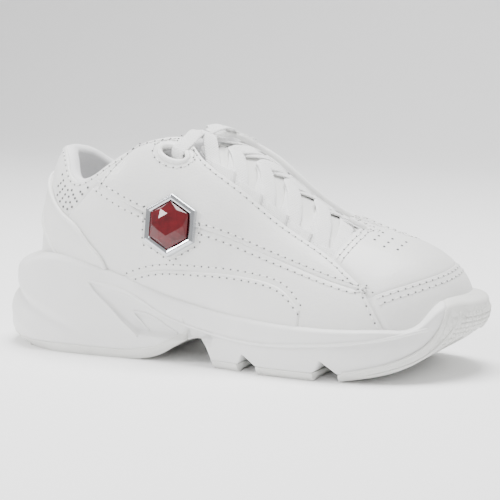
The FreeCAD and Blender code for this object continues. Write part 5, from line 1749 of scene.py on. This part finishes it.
# ---------------------------------------------------------------------------------------------
# Laces and loops
# ---------------------------------------------------------------------------------------------
@dataclass
class Lacing:
    """Flat lace criss-crossed through webbing loops."""

    throat: Throat
    stations: tuple = (102.0, 115.0, 128.0, 141.0, 157.0)
    loop_width: float = 11.5
    lace_width: float = 6.4
    lace_height: float = 1.15
    shown: float = 0.0               # length of every run together, in metres
    middle: float = -1.7             # depth of the lace's middle
    offset: float = 3.3              # the two runs at a loop lie beside each other
    tuck: float = 0.05
    hump: float = 1.35               # the upper run steps over the lower one

    def tucked(self, ridge_x: float, side: Side) -> tuple[float, float]:
        """End of a run under the throat's edge."""
        return ridge_x, float(self.throat.side(np.array(ridge_x), side, self.tuck))

    def run(self, draft: Draft, start: tuple[float, float], end: tuple[float, float],
            lift: Callable[[Array], Array]) -> None:
        """Add one run of the lace between two places over the ridge."""
        form = self.throat.upper.form
        a = np.linspace(0.01, 0.99, 64)
        places = form.over_ridge(start[0] + (end[0] - start[0]) * a,
                                 start[1] + (end[1] - start[1]) * a + 1e-6)
        ripple = 0.1 * np.sin(a * 19 + start[0]) * np.sin(np.pi * a)
        path = form.skin(places, self.middle + lift(a) + ripple)
        self.shown += float(np.linalg.norm(np.diff(path, axis=0), axis=1).sum()) * MM
        rod(draft, path, form.normal(places[:, 0], places[:, 1]), self.lace_width,
            self.lace_height, 18, 3.4)

    def build_lace(self) -> bpy.types.Object:
        """Every run of the lace."""
        draft = Draft()
        for near, far in zip(self.stations, self.stations[1:]):
            for side, other, high in ((Side.OUTER, Side.INNER, 0.0),
                                      (Side.INNER, Side.OUTER, self.hump)):
                self.run(draft, self.tucked(near + self.offset, side),
                         self.tucked(far - self.offset, other),
                         lambda a, high=high: high * np.sin(np.pi * a) ** 4)
        root = self.stations[-1] + self.offset
        self.run(draft, self.tucked(root, Side.OUTER), self.tucked(root, Side.INNER),
                 lambda a: 0.5 * np.sin(np.pi * a))
        upper = self.throat.upper
        for centre, side, other, high in (
                (upper.outer_eyelet, Side.OUTER, Side.INNER, 0.0),
                (upper.inner_eyelet, Side.INNER, Side.OUTER, 1.6)):
            place = upper.form.settle([centre])[0]
            start = (float(upper.form.edge(place[:1])[0, 7]), side.value * (1.022 - place[1]))
            over = 5.55

            def lift(a: Array, high: float = high) -> Array:
                """Rise of the run out of its eyelet and over the tab's edge."""
                out = ease((a - 0.01) / 0.055)
                return (over * (1 - ease((a - 0.3) / 0.45)) * out - 1.2 * (1 - out)
                        + high * np.sin(np.pi * a) ** 4)
            self.run(draft, start, self.tucked(self.stations[0] - self.offset, other), lift)
        piece = draft.make("flat_lace", FINISH(LACE))
        LOG.info("lace: %.3f m between its two ends", self.shown)
        return dress(piece, Body.SHOE, "lace_cotton", "lace")

    def build_loops(self, side: Side, word: str) -> bpy.types.Object:
        """One side's webbing loops, each folded round the lace."""
        form, draft = self.throat.upper.form, Draft()
        turn = np.linspace(0, math.pi, 9)
        shows, hidden, half = 0.075, 0.1, 0.95
        # One unit of side is about 60 mm of wall, so the fold's nose is a half circle there.
        reach = np.concatenate((np.linspace(hidden, -shows, 8)[:-1],
                                -shows - np.sin(turn) * half / 60,
                                np.linspace(-shows, hidden * 0.3, 6)[1:]))
        depth = np.concatenate((np.full(7, -0.55), -0.55 - half + np.cos(turn) * half,
                                np.full(5, -0.55 - 2 * half)))
        for station in self.stations:
            x = station + self.loop_width * np.linspace(-0.5, 0.5, 7)
            edge = self.throat.side(np.array(station), side)
            xx, out = np.meshgrid(x, edge + side.value * reach, indexing="ij")
            places = form.over_ridge(xx, out + 1e-6)
            thick = 0.17 * np.sqrt(1 - np.linspace(-0.93, 0.93, 7) ** 2)[:, None]
            spine = form.skin(places, np.broadcast_to(depth, xx.shape))
            across = unit(np.gradient(spine, axis=0))
            onward = unit(np.gradient(spine, axis=1))
            facing = unit(np.cross(across, onward))
            length = np.linalg.norm(np.diff(spine[3], axis=0), axis=1)
            run = np.concatenate(([0], np.cumsum(length)))
            uv = np.stack(np.meshgrid(x, np.append(run, run[-1]), indexing="ij"), axis=-1) * MM
            slab(draft, spine + facing * thick[..., None], spine - facing * thick[..., None], uv)
        piece = draft.make(f"{word}_webbing_loops", FINISH(WEBBING))
        return dress(piece, Body.SHOE, "loop_webbing", f"{word}_lace_loops")

    def build(self) -> list[bpy.types.Object]:
        """Make the lace and both sides' loops."""
        return [self.build_lace(), self.build_loops(Side.OUTER, "lateral"),
                self.build_loops(Side.INNER, "medial")]


# ---------------------------------------------------------------------------------------------
# The badge
# ---------------------------------------------------------------------------------------------
@dataclass
class Badge:
    """A six-sided faceted stone in a plated frame on the outer quarter."""

    form: FootForm
    place: tuple = (95, -30, 59)
    across: float = 20.4
    rim: float = 3.0
    fit: float = 0.35
    frame_lift: float = 3.1
    back: float = 0.7
    girdle: float = 1.2
    dome: float = 2.2

    def __post_init__(self) -> None:
        """Find the badge's seat on the surface."""
        place = self.form.settle([self.place])
        self.base = self.form.skin(place, 0.0)[0]
        self.out = self.form.normal(place[:, 0], place[:, 1])[0]
        self.up = unit(np.array((0, 0, 1.0)) - self.out * self.out[2])
        self.aside = np.cross(self.out, self.up)

    def ring(self, radius: float, height: float, count: int = 6, turn: float = 0.0) -> Array:
        """Corners of a regular outline at a height over the seat."""
        angle = np.arange(count) * math.tau / count + turn
        return (self.base + self.up * (np.cos(angle) * radius)[:, None]
                + self.aside * (np.sin(angle) * radius)[:, None] + self.out * height)

    def outline(self, grow: float = 2.0) -> Array:
        """Places on the surface of the stitched outline."""
        corners = self.ring(self.across / 2 + self.fit + self.rim + grow, self.frame_lift)
        corners = np.concatenate((corners, corners[:1]))
        run = np.linspace(0, 6, 121)
        i = np.minimum(run.astype(int), 5)
        share = (run - i)[:, None]
        return self.form.settle(corners[i] * (1 - share) + corners[i + 1] * share)

    def build_frame(self) -> bpy.types.Object:
        """The plated frame: bevelled outside, with a seat inside."""
        seat = self.across / 2 + self.fit
        outer = seat + self.rim
        profile = ((outer, -0.9), (outer, 1.5), (outer - 0.25, 1.85), (outer - 1.3, 2.25),
                   (seat + 1.2, 2.3), (seat + 0.35, 2.0), (seat, 1.6), (seat, self.back),
                   (0.2, self.back), (0.2, -0.9))
        rings = np.stack([self.ring(radius, self.frame_lift + height)
                          for radius, height in profile])
        draft = Draft()
        draft.add_net(np.concatenate((rings, rings[:1])), closed=True)
        piece = draft.make("badge_frame", FINISH(CHROME), merge=0.01, smooth=False)
        bevel = piece.modifiers.new("edges", "BEVEL")
        bevel.width, bevel.segments, bevel.limit_method = 0.22 * MM, 3, "ANGLE"
        bevel.angle_limit = math.radians(18)
        return dress(piece, Body.SHOE, "badge_chrome", "gem_frame")

    def build_stone(self) -> bpy.types.Object:
        """The stone: a table, a crown of kite and triangle facets, and a girdle."""
        low = self.frame_lift + self.back + self.fit
        top = low + self.girdle + self.dome
        radius = self.across / 2
        points = np.concatenate((
            self.ring(radius * 0.6, low), self.ring(radius, low + 0.5),
            self.ring(radius, low + self.girdle),
            self.ring(radius * 0.735, low + self.girdle + self.dome * 0.58, 6, math.pi / 6),
            self.ring(radius * 0.46, top - 0.12), (self.base + self.out * top)[None]))
        draft = Draft()
        draft.points.append(points)
        draft.count = len(points)
        for k in range(6):
            n = (k + 1) % 6
            draft.add_face((k, n, 6 + n, 6 + k))
            draft.add_face((6 + k, 6 + n, 12 + n, 12 + k))
            draft.add_face((12 + k, 12 + n, 18 + k))
            draft.add_face((12 + k, 18 + k, 24 + k))
            draft.add_face((12 + k, 24 + k, 18 + (k - 1) % 6))
            draft.add_face((18 + k, 24 + n, 24 + k))
            draft.add_face((24 + k, 24 + n, 30))
        draft.add_face([5, 4, 3, 2, 1, 0])
        piece = draft.make("badge_stone", FINISH(ACRYLIC), smooth=False)
        bevel = piece.modifiers.new("edges", "BEVEL")
        bevel.width, bevel.segments, bevel.limit_method = 0.1 * MM, 2, "ANGLE"
        bevel.angle_limit = math.radians(8)
        return dress(piece, Body.GEM, "badge_gem", "gem_insert")


# ---------------------------------------------------------------------------------------------
# Studio
# ---------------------------------------------------------------------------------------------
@dataclass
class Studio:
    """Pale floor, soft lights and the camera."""

    target: tuple = (0.006, 0.00125, 0.046)
    azimuth: float = 25.0
    elevation: float = 8.0
    distance: float = 0.8
    lens: float = 132.0

    def build_floor(self) -> bpy.types.Object:
        """A pale floor that curves up far behind the shoe."""
        draft = Draft()
        run = np.linspace(-math.pi / 2, 0, 13)
        profile = [(-3000.0, 0.0), (900.0, 0.0)]
        profile += [(900 + 700 * math.cos(t), 700 + 700 * math.sin(t)) for t in run]
        profile.append((1600.0, 2600.0))
        rows = [[(x, y, z) for y, z in profile] for x in np.linspace(-4000, 4000, 9)]
        draft.add_net(np.asarray(rows))
        floor = draft.make("studio_floor", FINISH(FLOOR), sort=False)
        return floor

    def build_camera(self) -> None:
        """The camera at the viewing angle."""
        a, e = math.radians(self.azimuth), math.radians(self.elevation)
        back = Vector((math.sin(a) * math.cos(e), -math.cos(a) * math.cos(e), math.sin(e)))
        data = bpy.data.cameras.new("camera")
        data.lens, data.sensor_width = self.lens, 36.0
        camera = bpy.data.objects.new("camera", data)
        camera.location = Vector(self.target) + back * self.distance
        camera.rotation_mode = "QUATERNION"
        camera.rotation_quaternion = (-back).to_track_quat("-Z", "Y")
        bpy.context.scene.collection.objects.link(camera)
        bpy.context.scene.camera = camera

    def build_lights(self) -> None:
        """Large soft lights: over the shoe, from the front left, and a weak fill."""
        for name, place, size, power in (
                ("overhead", (0.0, 0.1, 1.0), 0.6, 22.0), ("key", (-0.8, -0.6, 0.7), 0.35, 11.0),
                ("fill", (0.95, -0.6, 0.4), 0.8, 1.5)):
            data = bpy.data.lights.new(name, "AREA")
            data.shape, data.size, data.energy = "SQUARE", size, power
            lamp = bpy.data.objects.new(name, data)
            lamp.location = place
            lamp.rotation_mode = "QUATERNION"
            toward = Vector(self.target) - Vector(place)
            lamp.rotation_quaternion = toward.to_track_quat("-Z", "Y")
            bpy.context.scene.collection.objects.link(lamp)
        world = bpy.data.worlds.new("studio")
        world.use_nodes = True
        world.node_tree.nodes["Background"].inputs["Color"].default_value = linear("#ffffff")
        world.node_tree.nodes["Background"].inputs["Strength"].default_value = 0.7
        bpy.context.scene.world = world

    def build(self) -> None:
        """Set up the studio."""
        self.build_floor()
        self.build_camera()
        self.build_lights()


def dress_kept_nodes(nodes: dict[str, bpy.types.Object]) -> None:
    """Give the sheets and plates that stay as they are their own materials."""
    for node, surface, slot in (
            ("shank_plate", SHANK, "shank_plastic"), ("strobel_board", BOARD, "board_fabric"),
            ("heel_counter", STIFFENER, "stiffener_board"),
            ("toe_puff", STIFFENER, "stiffener_board")):
        nodes[node].data.materials.clear()
        nodes[node].data.materials.append(FINISH(surface))


def main() -> None:
    """Build the shoe and its studio, and log how many faces each made piece of the shoe has."""
    logging.basicConfig(level=logging.INFO, format="%(message)s")
    form, repeats = FootForm(), Repeats()
    sole, badge, upper = Sole(), Badge(form), Upper(form)
    made = [Collar(upper).build()]
    made += sole.build(repeats)
    made += upper.build(repeats, badge.outline())
    throat = Throat(upper)
    tongue = Tongue(throat)
    made += tongue.build() + [tongue.stitches(repeats)]
    made += Lacing(throat).build()
    made.append(Sockliner(sole, form).build())
    made += [badge.build_frame(), badge.build_stone()]
    dress_kept_nodes(frame["nodes"])
    Studio().build()
    for piece in made:
        LOG.info("%s: %d faces", piece.name, len(piece.data.polygons))


if __name__ == "__main__":
    main()
